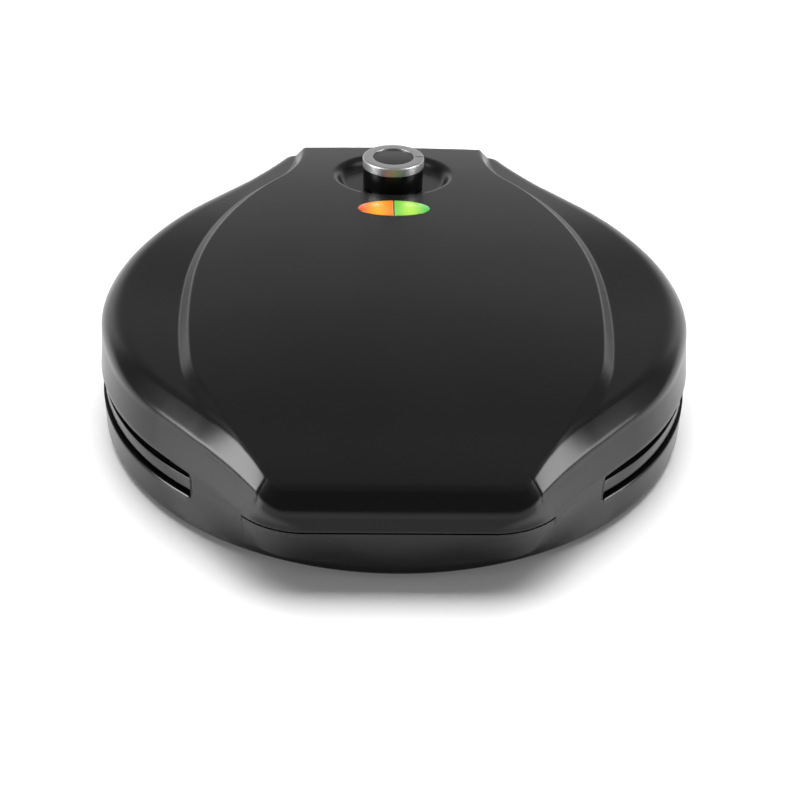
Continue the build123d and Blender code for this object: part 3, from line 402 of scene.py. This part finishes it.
lid_points, lid_normals, lid_counts = lid_outline(NOSE_CORNER_R, None)
front_x = np.concatenate((
    np.arange(0, GRIP_HALF - STEP_GAP, FRONT_STEP), (GRIP_HALF - GRIP_EDGE, GRIP_HALF),
    np.arange(GRIP_HALF + FRONT_STEP, APRON_HALF - STEP_GAP, FRONT_STEP), (APRON_HALF,)))
circle_start = -np.arccos(APRON_HALF / SHELL_R)
circle_end = np.arcsin(REAR_START / SHELL_R)
circle_turns = np.linspace(circle_start, circle_end, CIRCLE_STEPS)[1:]
shell_half = [(x, -sqrt(SHELL_R ** 2 - x ** 2)) for x in front_x]
shell_half += [(SHELL_R * cos(a), SHELL_R * sin(a)) for a in circle_turns]
shell_plan = np.array(shell_half + [(-x, y) for x, y in shell_half[:0:-1]])
shell_off_middle = np.abs(shell_plan[:, 0])
shell_in_front = shell_plan[:, 1] < 0
rear_gap = len(shell_half) - 1

# How far the nose stands in front of the round tub, which the apron leans out to meet
on_nose = (lid_points[:, 0] >= 0) & (lid_points[:, 1] < NOSE_REAR)
nose_inset = lid_points[on_nose] + lid_normals[on_nose] * NOSE_INSET
nose_line = np.interp(shell_off_middle, nose_inset[:, 0], nose_inset[:, 1])
ahead = np.where(shell_in_front, np.maximum(shell_plan[:, 1] - nose_line, 0), 0)
ahead[shell_off_middle > LEAN_HALF] = 0
in_grip = (shell_off_middle < GRIP_HALF - GRIP_EDGE / 2) & shell_in_front
in_apron = (shell_off_middle <= APRON_HALF) & shell_in_front
apron_top = np.where(in_grip, GRIP_TOP, APRON_TOP)

shell_rows = []


def shell_row(height, shrink=0, grip_out=0):
    """A row round the wall, drawn in by shrink, its grip panel standing out by grip_out."""
    lean_out = np.clip((height - LEAN_LOW) / (LEAN_HIGH - LEAN_LOW), 0, 1)
    row = shell_plan * (1 - shrink / SHELL_R)
    row[:, 1] -= ahead * lean_out + in_grip * grip_out
    shell_rows.append(np.column_stack((row, np.broadcast_to(height, len(row)))))


for shrink, height in FOOT_ROUND:
    shell_row(height, shrink)
for height in PLAIN_HEIGHTS:
    shell_row(height)
for height in GRIP_HEIGHTS:
    shell_row(height, grip_out=GRIP_PROUD)
low_rows = len(shell_rows)
for k in range(1, APRON_ROWS + 1):
    shell_row(SHELL_RIM + (apron_top - SHELL_RIM) * k / APRON_ROWS, grip_out=GRIP_PROUD)
lip = shell_rows[-1].copy()
lip[:, :2] *= 1 - LIP_DEPTH / SHELL_R
shell_rows.append(lip)

count = len(shell_plan)
faces = []
for k in range(len(shell_rows) - 1):
    for i in range(count):
        j = (i + 1) % count
        if i != rear_gap and (k < low_rows - 1 or (in_apron[i] and in_apron[j])):
            faces.append((k * count + i, k * count + j, (k + 1) * count + j, (k + 1) * count + i))
shell_wall = skin_object("shell_wall", np.concatenate(shell_rows), faces)
wall = bmesh.new()
wall.from_mesh(shell_wall.data)
bmesh.ops.delete(wall, geom=[v for v in wall.verts if not v.link_faces], context="VERTS")
wall.to_mesh(shell_wall.data)
wall.free()
shell_wall.data.set_sharp_from_angle(angle=radians(SHELL_CREASE))
shell_wall.data.materials.append(shell_black)
skin = shell_wall.modifiers.new("skin", "SOLIDIFY")
skin.thickness = SKIN_THICKNESS * MM
skin.offset = -1
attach(shell_wall, "base")

# Bezels: two rings of heat-resistant black plastic, one screwed into each half, whose ledges hold the
# cooking plates. Their surface has a fine satin grain.
bezel_black = moulded_black("bezel_black", (0.008, 0.008, 0.008), 0.28, 0.2, 0.4)
paint(bezel_black, "lower_bezel", "upper_bezel")

# Side bands: the outer edge of the lower bezel, seen in the gap between the halves from the front
# apron to where the rear wall rises. Moulded with the bezel, and as glossy as the shell.
BAND_R = 169.8
BAND_DEPTH = 3.0
BAND_LOW, BAND_HIGH = 27.0, 34.5
BAND_ROUNDS = (0.5, 0.6)
BAND_CLEAR = 0.6
BAND_STEPS = 100
BAND_CREASE = 40


def rounded(profile, radii, steps=6):
    """A two-number outline with its inner corners rounded."""
    result = [profile[0]]
    for before, corner, after, radius in zip(profile, profile[1:], profile[2:], radii):
        a, c, b = Vector(before), Vector(corner), Vector(after)
        u, v = (a - c).normalized(), (b - c).normalized()
        for k in range(steps + 1):
            t = k / steps
            p = (c + u * radius) * (1 - t) ** 2 + c * 2 * t * (1 - t) + (c + v * radius) * t ** 2
            result.append((p.x, p.y))
    result.append(profile[-1])
    return result


band_profile = rounded([(BAND_R - BAND_DEPTH, BAND_LOW), (BAND_R, BAND_LOW),
                        (BAND_R, BAND_HIGH), (BAND_R - BAND_DEPTH, BAND_HIGH)], BAND_ROUNDS, 4)
band_start = -np.arccos((APRON_HALF - BAND_CLEAR) / BAND_R)
band_end = np.arcsin((REAR_START + BAND_CLEAR) / BAND_R)
band_turns = np.linspace(band_start, band_end, BAND_STEPS)
for name, mirror in (("side_band_right", 1), ("side_band_left", -1)):
    spots = [(mirror * r * cos(a), r * sin(a), z) for a in band_turns for r, z in band_profile]
    width = len(band_profile)
    faces = []
    for i in range(len(band_turns) - 1):
        for j in range(width):
            after = (j + 1) % width
            faces.append((i * width + j, (i + 1) * width + j, (i + 1) * width + after, i * width + after))
    faces += [tuple(range(width))[::-1], tuple(range(len(spots) - width, len(spots)))]
    if mirror < 0:
        faces = [face[::-1] for face in faces]
    band = skin_object(name, spots, faces)
    band.data.set_sharp_from_angle(angle=radians(BAND_CREASE))
    band.data.materials.append(shell_black)
    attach(band, "base")

# Cooking plates: two round dishes of cast aluminium under a dark non-stick coat, sitting on the
# bezels' ledges with their hollow sides facing. The coat is satin with a faint orange peel.
plate_coat = worked("plate_coat", (0.012, 0.012, 0.013), (0.022, 0.022, 0.023), 0.0, 0.34, 900, 0.25)
paint(plate_coat, "lower_plate", "upper_plate")

# Heating elements: steel tubes bent to a ring against the back of each plate and browned by heat.
# Their ends are closed by ceramic beads, with brass tabs pressed on for the wires.
drawn_steel = worked("drawn_steel", (0.22, 0.20, 0.18), (0.32, 0.30, 0.28), 1.0, 0.42, 300, 0.15)
bare_ceramic = worked("bare_ceramic", (0.72, 0.70, 0.64), (0.80, 0.78, 0.73), 0.0, 0.75, 400, 0.3)
turned_brass = worked("turned_brass", (0.62, 0.45, 0.18), (0.75, 0.56, 0.26), 1.0, 0.30, 400, 0.1)
paint(drawn_steel, "lower_element", "upper_element")
paint(bare_ceramic, "lower_element_beads", "upper_element_beads")
paint(turned_brass, "lower_element_tabs", "upper_element_tabs")

# Sheet metal: a shallow reflector dish behind each element, strips that clamp the elements to the
# plates, and clips that hold the plates in the bezels. Pressed from bright rolled steel.
sheet_steel = worked("sheet_steel", (0.50, 0.50, 0.50), (0.62, 0.62, 0.62), 1.0, 0.32, 220, 0.1)
paint(sheet_steel, "lower_reflector", "upper_reflector", "lower_element_clamps",
      "upper_element_clamps", "lower_plate_clips", "upper_plate_clips")

# Cord inlet and terminals: a black plastic bush snapped into the rear wall, and behind it on the
# floor a white moulded block with brass clamps for the wires.
white_moulding = worked("white_moulding", (0.66, 0.66, 0.63), (0.74, 0.74, 0.71), 0.0, 0.5, 300, 0.1)
paint(bezel_black, "cord_inlet_bush")
paint(white_moulding, "terminal_block")
paint(turned_brass, "terminal_clamps")

# Wires: stranded copper under pale silicone covers that stand the heat. In the base they run from
# the terminals to the element, in the lid from the thermostat to the element and the fuse.
wire_silicone = worked("wire_silicone", (0.60, 0.58, 0.52), (0.68, 0.66, 0.60), 0.0, 0.6, 500, 0.1)
paint(wire_silicone, "base_wires", "lid_wires")

# Hinge: brackets on the base's rear wall and arms on the lid, both of black coated metal, turning on
# plated pins that small clips hold in place.
hinge_coat = worked("hinge_coat", (0.010, 0.010, 0.010), (0.018, 0.018, 0.018), 0.3, 0.45, 600, 0.3)
plated_steel = worked("plated_steel", (0.45, 0.45, 0.44), (0.58, 0.58, 0.57), 1.0, 0.30, 500, 0.1)
paint(hinge_coat, "base_hinge_brackets", "lid_hinge_arms")
paint(plated_steel, "hinge_pins", "hinge_pin_clips")

# Thermostat and fuse: a ceramic body under the lid with a threaded brass bushing, nut and tabs and a
# steel shaft up to the knob. The fuse lies in a sheet clip on the back of the upper plate.
paint(bare_ceramic, "thermostat_body")
paint(turned_brass, "thermostat_bushing", "thermostat_nut", "thermostat_tabs")
paint(drawn_steel, "thermostat_shaft", "thermal_fuse")
paint(sheet_steel, "fuse_clip")

# Indicator lamps: two small glass lamps side by side in a white moulded housing under the window.
# The glass is clear and smooth.
lamp_glass = worked("lamp_glass", (0.80, 0.80, 0.78), (0.88, 0.88, 0.86), 0.0, 0.08, 100, 0.0)
paint(lamp_glass, "orange_lamp", "green_lamp")
paint(white_moulding, "lamp_housing")

# Screws: plated steel, driven from below and from inside, out of sight from the front and above.
# They hold the shell, the lid, the hinge, and the clamps, clips and reflectors of the plates.
paint(plated_steel, "base_screws", "lid_screws", "hinge_arm_screws", "hinge_bracket_screws")
for half in ("lower", "upper"):
    for holder in ("clamp", "clip", "reflector"):
        paint(plated_steel, f"{half}_{holder}_screws")

# Lid cover: one moulding of gloss black plastic, round in plan with a blunt nose and a flared neck.
# A raised panel with softly rounded edges runs from the nose to the back and holds the knob's dish.
# The wall leans in, and ends in a bevel that is widest beside the nose.
BEVEL_CORNER_R = 21.0
PANEL_FRONT = 173.0
PANEL_CORNER_X = 71.8
PANEL_CORNER_R = 16.0
FLANK = 61.0
FLANK_END = 114.0
PANEL_BENDS = ((110.0, 19.0), (480.0, 10.0), (260.0, 25.0), (180.0, 12.0), (73.0, -32.0))
PANEL_TAIL = 60.0
BACK_SPREAD = 0.045
SPREAD_START, SPREAD_LENGTH = 150.0, 45.0
CROWN_STATIONS = (-205.0, -186.0, -172.0, -155.0, -130.0, -90.0, 0.0, 50.0, 100.0, 160.0, 215.0)
PANEL_HEIGHTS = (40.0, 53.0, 61.5, 69.6, 75.6, 79.6, 82.0, 82.4, 82.5, 82.2, 81.0)
SHOULDER_HEIGHTS = (40.0, 53.0, 61.5, 69.0, 71.4, 72.6, 74.4, 76.6, 77.5, 76.0, 74.6)
PANEL_CROSS_R = 2600.0
SHOULDER_CROSS_R = 7000.0
STEP_WIDTH = 7.5
STEP_ROUND = 0.22
KNOB_Y = 141.0
DISH_Y = 146.5
DISH_HALF_X = 37.5
DISH_HALF_Y = 32.0
DISH_FLOOR = 76.0
DISH_EDGE, DISH_SLOPE, DISH_ROUND = 1.07, 0.24, 0.5
PLAN_MIDDLE_Y = 10.0
LID_RIM = 40.5
NOSE_LIP = 38.5
LIP_FADE = 1.2
LID_WALL = 2.4
INSIDE_RISES = ((1.0, 8.0), (0.0, 3.0))
RIM_TURN = 0.7
RIM_ANGLES = (0, 30, 60, 90)
WALL_LEAN = 0.155
LEAN_END, LEAN_FADE = -70.0, 90.0
WALL_ROWS = 9
EDGE_SIZE = 9.3
EDGE_ROUND = 6.2
NOSE_ROUND = 2.6
ROUND_START, ROUND_FADE = -135.0, 110.0
ROUND_STEPS = 7
BACK_EDGE_LOSS = 0.45
BACK_EDGE_START, BACK_EDGE_FADE = 120.0, 60.0
NOSE_LIMIT = -60.0
NOSE_HALF, NOSE_FADE = 150.0, 34.0
NOSE_STATIONS = (0.0, 40.0, 52.0, 61.0, 70.0, 81.0, 90.0, 102.0, 116.0, 128.0, 150.0)
NOSE_BEVEL_WIDTHS = (6.0, 6.0, 6.3, 6.8, 7.2, 7.8, 8.8, 10.3, 11.0, 10.6, EDGE_SIZE)
NOSE_WALL_TOPS = (49.3, 49.5, 50.4, 52.0, 54.2, 57.2, 59.4, 61.2, 62.3, 62.8, 62.8)
FOOT_MARGIN = 1.5
EDGE_MARGIN = 0.4
STEP_ZONE = 13.0
SHOULDER_ROWS, STEP_ROWS, PANEL_ROWS = 16, 26, 110
SEARCH_BLOCK = 4000


def depth_inside(spots, outline, outline_normals):
    """Distance of each spot inside an outline, negative outside."""
    depth = np.empty(len(spots))
    for start in range(0, len(spots), SEARCH_BLOCK):
        block = spots[start:start + SEARCH_BLOCK]
        gap = block[:, None, :] - outline[None, :, :]
        near = np.argmin((gap ** 2).sum(2), axis=1)
        rows = np.arange(len(block))
        depth[start:start + SEARCH_BLOCK] = (gap[rows, near] * outline_normals[near]).sum(1)
    return depth


def smooth_line(stations, heights):
    """Natural cubic curve through heights at stations, as a function of arrays."""
    s, h = np.array(stations), np.array(heights)
    n, step = len(s), np.diff(s)
    system, side = np.eye(n), np.zeros(n)
    for k in range(1, n - 1):
        system[k, k - 1:k + 2] = step[k - 1], 2 * (step[k - 1] + step[k]), step[k]
        side[k] = 6 * ((h[k + 1] - h[k]) / step[k] - (h[k] - h[k - 1]) / step[k - 1])
    bend = np.linalg.solve(system, side)

    def height(y):
        k = np.clip(np.searchsorted(s, y) - 1, 0, n - 2)
        a, b, w = s[k + 1] - y, y - s[k], step[k]
        return (bend[k] * a ** 3 + bend[k + 1] * b ** 3) / (6 * w) + \
            (h[k] / w - bend[k] * w / 6) * a + (h[k + 1] / w - bend[k + 1] * w / 6) * b
    return height


def ease(t):
    """A soft rise from 0 to 1."""
    t = np.clip(t, 0, 1)
    return t * t * t * (t * (6 * t - 15) + 10)


def ramp(t, soft):
    """A straight rise from 0 to 1 with both ends rounded."""
    t = np.clip(t, 0, 1)
    low = t ** 2 / (2 * soft * (1 - soft))
    high = 1 - (1 - t) ** 2 / (2 * soft * (1 - soft))
    return np.where(t < soft, low, np.where(t > 1 - soft, high, (t - soft / 2) / (1 - soft)))


flank_cut = PANEL_CORNER_R * tan(radians(FLANK) / 2)
flank_run = (PANEL_FRONT - FLANK_END) / sin(radians(FLANK))
panel_steps = [(PANEL_CORNER_X - flank_cut,), (PANEL_CORNER_R, FLANK), (flank_run - flank_cut,),
               *PANEL_BENDS, (PANEL_TAIL,)]
points, normals, _, _ = march((0, -PANEL_FRONT), 0.0, panel_steps, run_counts(panel_steps))
panel_points, panel_normals = both_sides(points, normals)
spread = np.clip((panel_points[:, 1] - SPREAD_START) / SPREAD_LENGTH, 0, 1)
panel_points[:, 0] *= 1 + BACK_SPREAD * spread
panel_ridge = smooth_line(CROWN_STATIONS, PANEL_HEIGHTS)
shoulder_ridge = smooth_line(CROWN_STATIONS, SHOULDER_HEIGHTS)


def lid_surface(x, y):
    """Height of the lid's top before its outer edge is rounded."""
    shoulder = shoulder_ridge(y) - x ** 2 / (2 * SHOULDER_CROSS_R)
    panel = panel_ridge(y) - x ** 2 / (2 * PANEL_CROSS_R)
    inside = depth_inside(np.column_stack((x, y)), panel_points, panel_normals)
    top = shoulder + np.maximum(panel - shoulder, 0) * ramp(inside / STEP_WIDTH, STEP_ROUND)
    dish = np.sqrt((x / DISH_HALF_X) ** 2 + ((y - DISH_Y) / DISH_HALF_Y) ** 2)
    return top - np.maximum(top - DISH_FLOOR, 0) * ramp((DISH_EDGE - dish) / DISH_SLOPE, DISH_ROUND)


bevel_points, bevel_normals, _ = lid_outline(BEVEL_CORNER_R, lid_counts)
across, along = lid_points[:, 0], lid_points[:, 1]
off_middle = np.abs(across)
in_front = along < NOSE_LIMIT
low_lip = ease((GRIP_HALF + LIP_FADE / 2 - off_middle) / LIP_FADE) * (along < 0)
rim = LID_RIM - (LID_RIM - NOSE_LIP) * low_lip
back_scale = 1 - BACK_EDGE_LOSS * ease((along - BACK_EDGE_START) / BACK_EDGE_FADE)
nose_width = np.interp(off_middle, NOSE_STATIONS, NOSE_BEVEL_WIDTHS)
bevel_width = np.where(in_front, nose_width, EDGE_SIZE) * back_scale
bevel_round = NOSE_ROUND + (EDGE_ROUND - NOSE_ROUND) * ease((along - ROUND_START) / ROUND_FADE)
bevel_round *= back_scale
wall_lean = WALL_LEAN * (1 - ease((along - LEAN_END) / LEAN_FADE))
rings = []


def wall_ring(inset, height, t=0.0):
    """A ring of the lid's wall, t of the way from the rim's plan to the bevel's plan."""
    spots = lid_points * (1 - t) + bevel_points * t
    normals = lid_normals * (1 - t) + bevel_normals * t
    spots = spots + normals * np.broadcast_to(inset, len(spots))[:, None]
    rings.append(np.column_stack((spots, height)))


def bevel_height(inset):
    """Height of the top where the bevel ends, or further in."""
    spots = bevel_points + bevel_normals * inset[:, None]
    return lid_surface(spots[:, 0], spots[:, 1])


# The wall's top follows the crown round the sides, and its own line across the nose
nose_top = np.interp(off_middle, NOSE_STATIONS, NOSE_WALL_TOPS)
nose_share = np.where(in_front, ease((NOSE_HALF - off_middle) / NOSE_FADE), 0)
lean = wall_lean * (nose_top - rim)
inner_height = bevel_height(bevel_width + lean)
side_top = inner_height - EDGE_SIZE * back_scale
wall_top = side_top * (1 - nose_share) + nose_top * nose_share
bevel_drop = inner_height - wall_top

for draft, rise in INSIDE_RISES:
    wall_ring(LID_WALL + draft, rim + rise)
for angle in RIM_ANGLES:
    rim_height = rim + RIM_TURN - RIM_TURN * sin(radians(angle))
    wall_ring(LID_WALL - RIM_TURN + RIM_TURN * cos(radians(angle)), rim_height)
for angle in RIM_ANGLES[::-1]:
    rim_height = rim + RIM_TURN - RIM_TURN * sin(radians(angle))
    wall_ring(RIM_TURN - RIM_TURN * cos(radians(angle)), rim_height)
wall_high = wall_top - bevel_round
for k in range(1, WALL_ROWS):
    t = k / WALL_ROWS
    wall_ring(lean * t, rim + RIM_TURN + (wall_high - rim - RIM_TURN) * t, ease(t))
slope_length = np.hypot(bevel_width, bevel_drop)
slope_in, slope_down = bevel_width / slope_length, bevel_drop / slope_length
for k in range(ROUND_STEPS + 1):
    t = k / ROUND_STEPS
    inset = slope_in * bevel_round * t ** 2
    drop = bevel_drop + bevel_round * (1 - t) ** 2 - slope_down * bevel_round * t ** 2
    wall_ring(lean + inset, bevel_height(lean + bevel_width) - drop, 1.0)
for k in range(ROUND_STEPS + 1):
    t = k / ROUND_STEPS
    inset = bevel_width - slope_in * bevel_round * (1 - t) ** 2 + bevel_round * t ** 2
    drop = slope_down * bevel_round * (1 - t) ** 2
    wall_ring(lean + inset, bevel_height(lean + np.maximum(inset, bevel_width)) - drop, 1.0)

# The rings of the top follow the foot of the raised panel, so that its step stays crisp. The last one
# has shrunk to the middle, where a fan closes the top.
plan_middle = np.array((0.0, PLAN_MIDDLE_Y))
reach = rings[-1][:, :2] - plan_middle
reach_length = np.hypot(reach[:, 0], reach[:, 1])
reach_angle = np.arctan2(reach[:, 1], reach[:, 0])
foot = panel_points - plan_middle
foot_angle = np.arctan2(foot[:, 1], foot[:, 0])
foot_length = np.hypot(foot[:, 0], foot[:, 1])
order = np.argsort(foot_angle)
foot_length = np.interp(reach_angle, foot_angle[order], foot_length[order], period=2 * pi)
foot_length = np.minimum(foot_length + FOOT_MARGIN, reach_length - EDGE_MARGIN)
inner_length = foot_length - STEP_ZONE
for outer, inner, row_count in ((reach_length, foot_length, SHOULDER_ROWS),
                                (foot_length, inner_length, STEP_ROWS),
                                (inner_length, 0 * inner_length, PANEL_ROWS)):
    for k in range(1, row_count + 1):
        length = outer + (inner - outer) * k / row_count
        spots = plan_middle + reach / reach_length[:, None] * length[:, None]
        rings.append(np.column_stack((spots, lid_surface(spots[:, 0], spots[:, 1]))))
rings.pop()


def ring_mesh(name, rings, cap):
    """Piece through rings of equal count, closed round, with a fan over the last ring if capped."""
    count = len(rings[0])
    spots = np.concatenate(rings)
    a = np.arange(count)
    b = (a + 1) % count
    faces = [np.column_stack((a + k * count, b + k * count, b + (k + 1) * count, a + (k + 1) * count))
             for k in range(len(rings) - 1)]
    faces = np.concatenate(faces).tolist()
    if cap:
        spots = np.vstack((spots, spots[-count:].mean(0)))
        last = (len(rings) - 1) * count
        faces += [[last + i, last + (i + 1) % count, len(spots) - 1] for i in range(count)]
    return skin_object(name, spots, faces)


lid_black = moulded_black("lid_black", (0.006, 0.006, 0.0065), 0.25, 0.02, 0.27)
lid = ring_mesh("lid_cover_moulding", rings, True)
lid.data.materials.append(lid_black)
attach(lid, "lid")
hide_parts("lid_cover")

# Lamp window: an oval of two translucent lenses, orange on the left and green on the right, snapped
# into the panel from inside. Each is slightly crowned and stands a hair above the panel. Both give
# off a faint painted glow in their own colour.
LENS_Y = 92.5
LENS_HALF_X = 22.5
LENS_HALF_Y = 11.0
LENS_GAP = 0.25
LENS_MIDDLE_X = 8.5
LENS_ARC_POINTS = 65
LENS_CHORD_POINTS = 25
LENS_CROWN = ((1.0, -3.0), (1.0, 0.15), (0.985, 0.38), (0.955, 0.52), (0.9, 0.62), (0.75, 0.85),
              (0.55, 1.05), (0.3, 1.2), (0.08, 1.25))
LENS_ROUGHNESS = 0.2
# Strength of the lenses' painted glow: light they give off though they are no lamp.
LENS_PAINTED_GLOW = 0.12
TINT_MIDDLE = 0.45
ORANGE_TINTS = ((0.58, 0.15, 0.015), (0.76, 0.28, 0.02), (0.48, 0.075, 0.02))
GREEN_TINTS = ((0.11, 0.40, 0.05), (0.30, 0.52, 0.06), (0.05, 0.36, 0.06))


def half_lens(name, side):
    """One crowned half of the oval, on the lid's surface."""
    angles = np.linspace(-pi / 2, pi / 2, LENS_ARC_POINTS)
    arc = np.column_stack((LENS_HALF_X * np.cos(angles), LENS_HALF_Y * np.sin(angles)))
    chord_y = np.linspace(LENS_HALF_Y, -LENS_HALF_Y, LENS_CHORD_POINTS)[1:-1]
    chord = np.column_stack((np.zeros(len(chord_y)), chord_y))
    outline = np.concatenate((arc, chord))
    middle = np.array((LENS_MIDDLE_X, 0.0))
    loops = []
    for scale, rise in LENS_CROWN:
        spots = middle + (outline - middle) * scale
        x, y = side * (spots[:, 0] + LENS_GAP), spots[:, 1] + LENS_Y
        loops.append(np.column_stack((x, y, lid_surface(x, y) + rise)))
    if side < 0:
        loops = [loop[::-1] for loop in loops]
    return ring_mesh(name, loops, True)


def lens_tint(name, tints, side):
    """Translucent plastic, changing colour from the dividing line to its outer tip, with a painted glow.
    """
    material, nodes, links, shader = new_material(name)
    where = nodes.new("ShaderNodeTexCoord")
    split = nodes.new("ShaderNodeSeparateXYZ")
    outwards = add_range(nodes, 0.0, side * LENS_HALF_X * MM, 0.0, 1.0)
    tint = nodes.new("ShaderNodeValToRGB")
    tint.color_ramp.interpolation = "EASE"
    tint.color_ramp.elements[0].color = (*tints[0], 1)
    tint.color_ramp.elements[1].color = (*tints[2], 1)
    tint.color_ramp.elements.new(TINT_MIDDLE).color = (*tints[1], 1)
    links.new(where.outputs["Object"], split.inputs["Vector"])
    links.new(split.outputs["X"], outwards.inputs["Value"])
    links.new(outwards.outputs["Result"], tint.inputs["Fac"])
    links.new(tint.outputs["Color"], shader.inputs["Base Color"])
    links.new(tint.outputs["Color"], shader.inputs["Emission Color"])
    # Painted glow: the lens gives off its own tint as light.
    shader.inputs["Emission Strength"].default_value = LENS_PAINTED_GLOW
    shader.inputs["Roughness"].default_value = LENS_ROUGHNESS
    return material


for name, node, side, tints, slot in (
        ("orange_window", "lens_orange", -1, ORANGE_TINTS, "orange_lens"),
        ("green_window", "lens_green", 1, GREEN_TINTS, "green_lens")):
    window = half_lens(name, side)
    window.data.materials.append(lens_tint(name, tints, side))
    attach(window, "lid")
    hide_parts(node)

# Knob: a hollow drum of black plastic on the thermostat's shaft, with a satin silver ring pressed on
# its top and a dark disc sunk in the ring. The ring has one index notch on its right. Its shade is
# painted as a thin black sliver laid on the ring's top.
KNOB_SPOT = (0.0, KNOB_Y)
KNOB_POINTS = 192
DRUM_R, DRUM_BORE_R, DRUM_MOUTH_R = 19.7, 16.9, 13.0
DRUM_FOOT, DRUM_ROOF, DRUM_TOP = 76.9, 84.0, 91.0
DRUM_ROUNDS = (0.2, 0.6, 0.3)
RING_R, RING_SEAT_R, RING_BORE_R = 20.2, 18.0, 13.4
RING_FOOT, RING_STEP, RING_TOP = 90.8, 94.0, 97.0
RING_ROUNDS = (0.5, 1.3, 0.3)
RING_ROUND_STEPS = 8
RING_GRAIN_SCALE, RING_GRAIN_DETAIL = 900.0, 2.0
RING_ROUGHNESS = (0.40, 0.50)
RING_TONES = ((0.46, 0.46, 0.47), (0.56, 0.56, 0.57))
DISC_PROFILE = ((13.5, 93.5), (13.4, 96.3), (0.5, 96.35))
DISC_ROUNDS = (0.5,)
# Place and size of the black sliver that paints the index notch's shade.
NOTCH_SHADE_X = 17.2
NOTCH_SHADE_PROFILE = ((0.5, 96.0), (0.5, 97.06), (0.1, 97.08))
NOTCH_SHADE_POINTS = 24
NOTCH_SHADE_STRETCH = 5.6


def lathe(name, profile, middle, count=KNOB_POINTS, cap=True):
    """Round piece about an upright line from (radius, height) pairs, from the rim inwards."""
    turns = np.linspace(0, 2 * pi, count, endpoint=False)
    loops = [np.column_stack((middle[0] + r * np.cos(turns), middle[1] + r * np.sin(turns),
                              np.full(count, z))) for r, z in profile]
    return ring_mesh(name, loops, cap)


drum_profile = [(DRUM_BORE_R, DRUM_ROOF), (DRUM_BORE_R, DRUM_FOOT), (DRUM_R, DRUM_FOOT),
                (DRUM_R, DRUM_TOP), (DRUM_MOUTH_R, DRUM_TOP)]
drum = lathe("knob_drum", rounded(drum_profile, DRUM_ROUNDS), KNOB_SPOT, cap=False)
knob_black = moulded_black("knob_black", (0.006, 0.006, 0.006), 0.3, 0.15, 0.36)
drum.data.materials.append(knob_black)
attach(drum, "knob")
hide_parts("knob_body")

ring_profile = [(RING_SEAT_R, RING_FOOT), (RING_R, RING_FOOT), (RING_R, RING_TOP),
                (RING_BORE_R, RING_TOP), (RING_BORE_R, RING_STEP)]
ring = lathe("knob_ring_metal", rounded(ring_profile, RING_ROUNDS, RING_ROUND_STEPS), KNOB_SPOT, cap=False)
ring_silver, nodes, links, shader = new_material("ring_silver")
ring_grain = add_noise(nodes, links, RING_GRAIN_SCALE, RING_GRAIN_DETAIL)
vary(nodes, links, shader, ring_grain, RING_TONES, RING_ROUGHNESS)
shader.inputs["Metallic"].default_value = 1.0
ring.data.materials.append(ring_silver)
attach(ring, "knob")
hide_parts("knob_ring")

disc = lathe("knob_cap_disc", rounded(DISC_PROFILE, DISC_ROUNDS), KNOB_SPOT)
disc.data.materials.append(knob_black)
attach(disc, "knob")
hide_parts("knob_cap")

# Painted shade: a thin black sliver, stretched along the ring's top, stands where the notch falls dark.
notch_shade = lathe("knob_notch_shade", NOTCH_SHADE_PROFILE, (NOTCH_SHADE_X, KNOB_Y), NOTCH_SHADE_POINTS)
notch_shade.data.materials.append(knob_black)
for vertex in notch_shade.data.vertices:
    vertex.co.x = NOTCH_SHADE_X * MM + (vertex.co.x - NOTCH_SHADE_X * MM) * NOTCH_SHADE_STRETCH
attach(notch_shade, "knob")
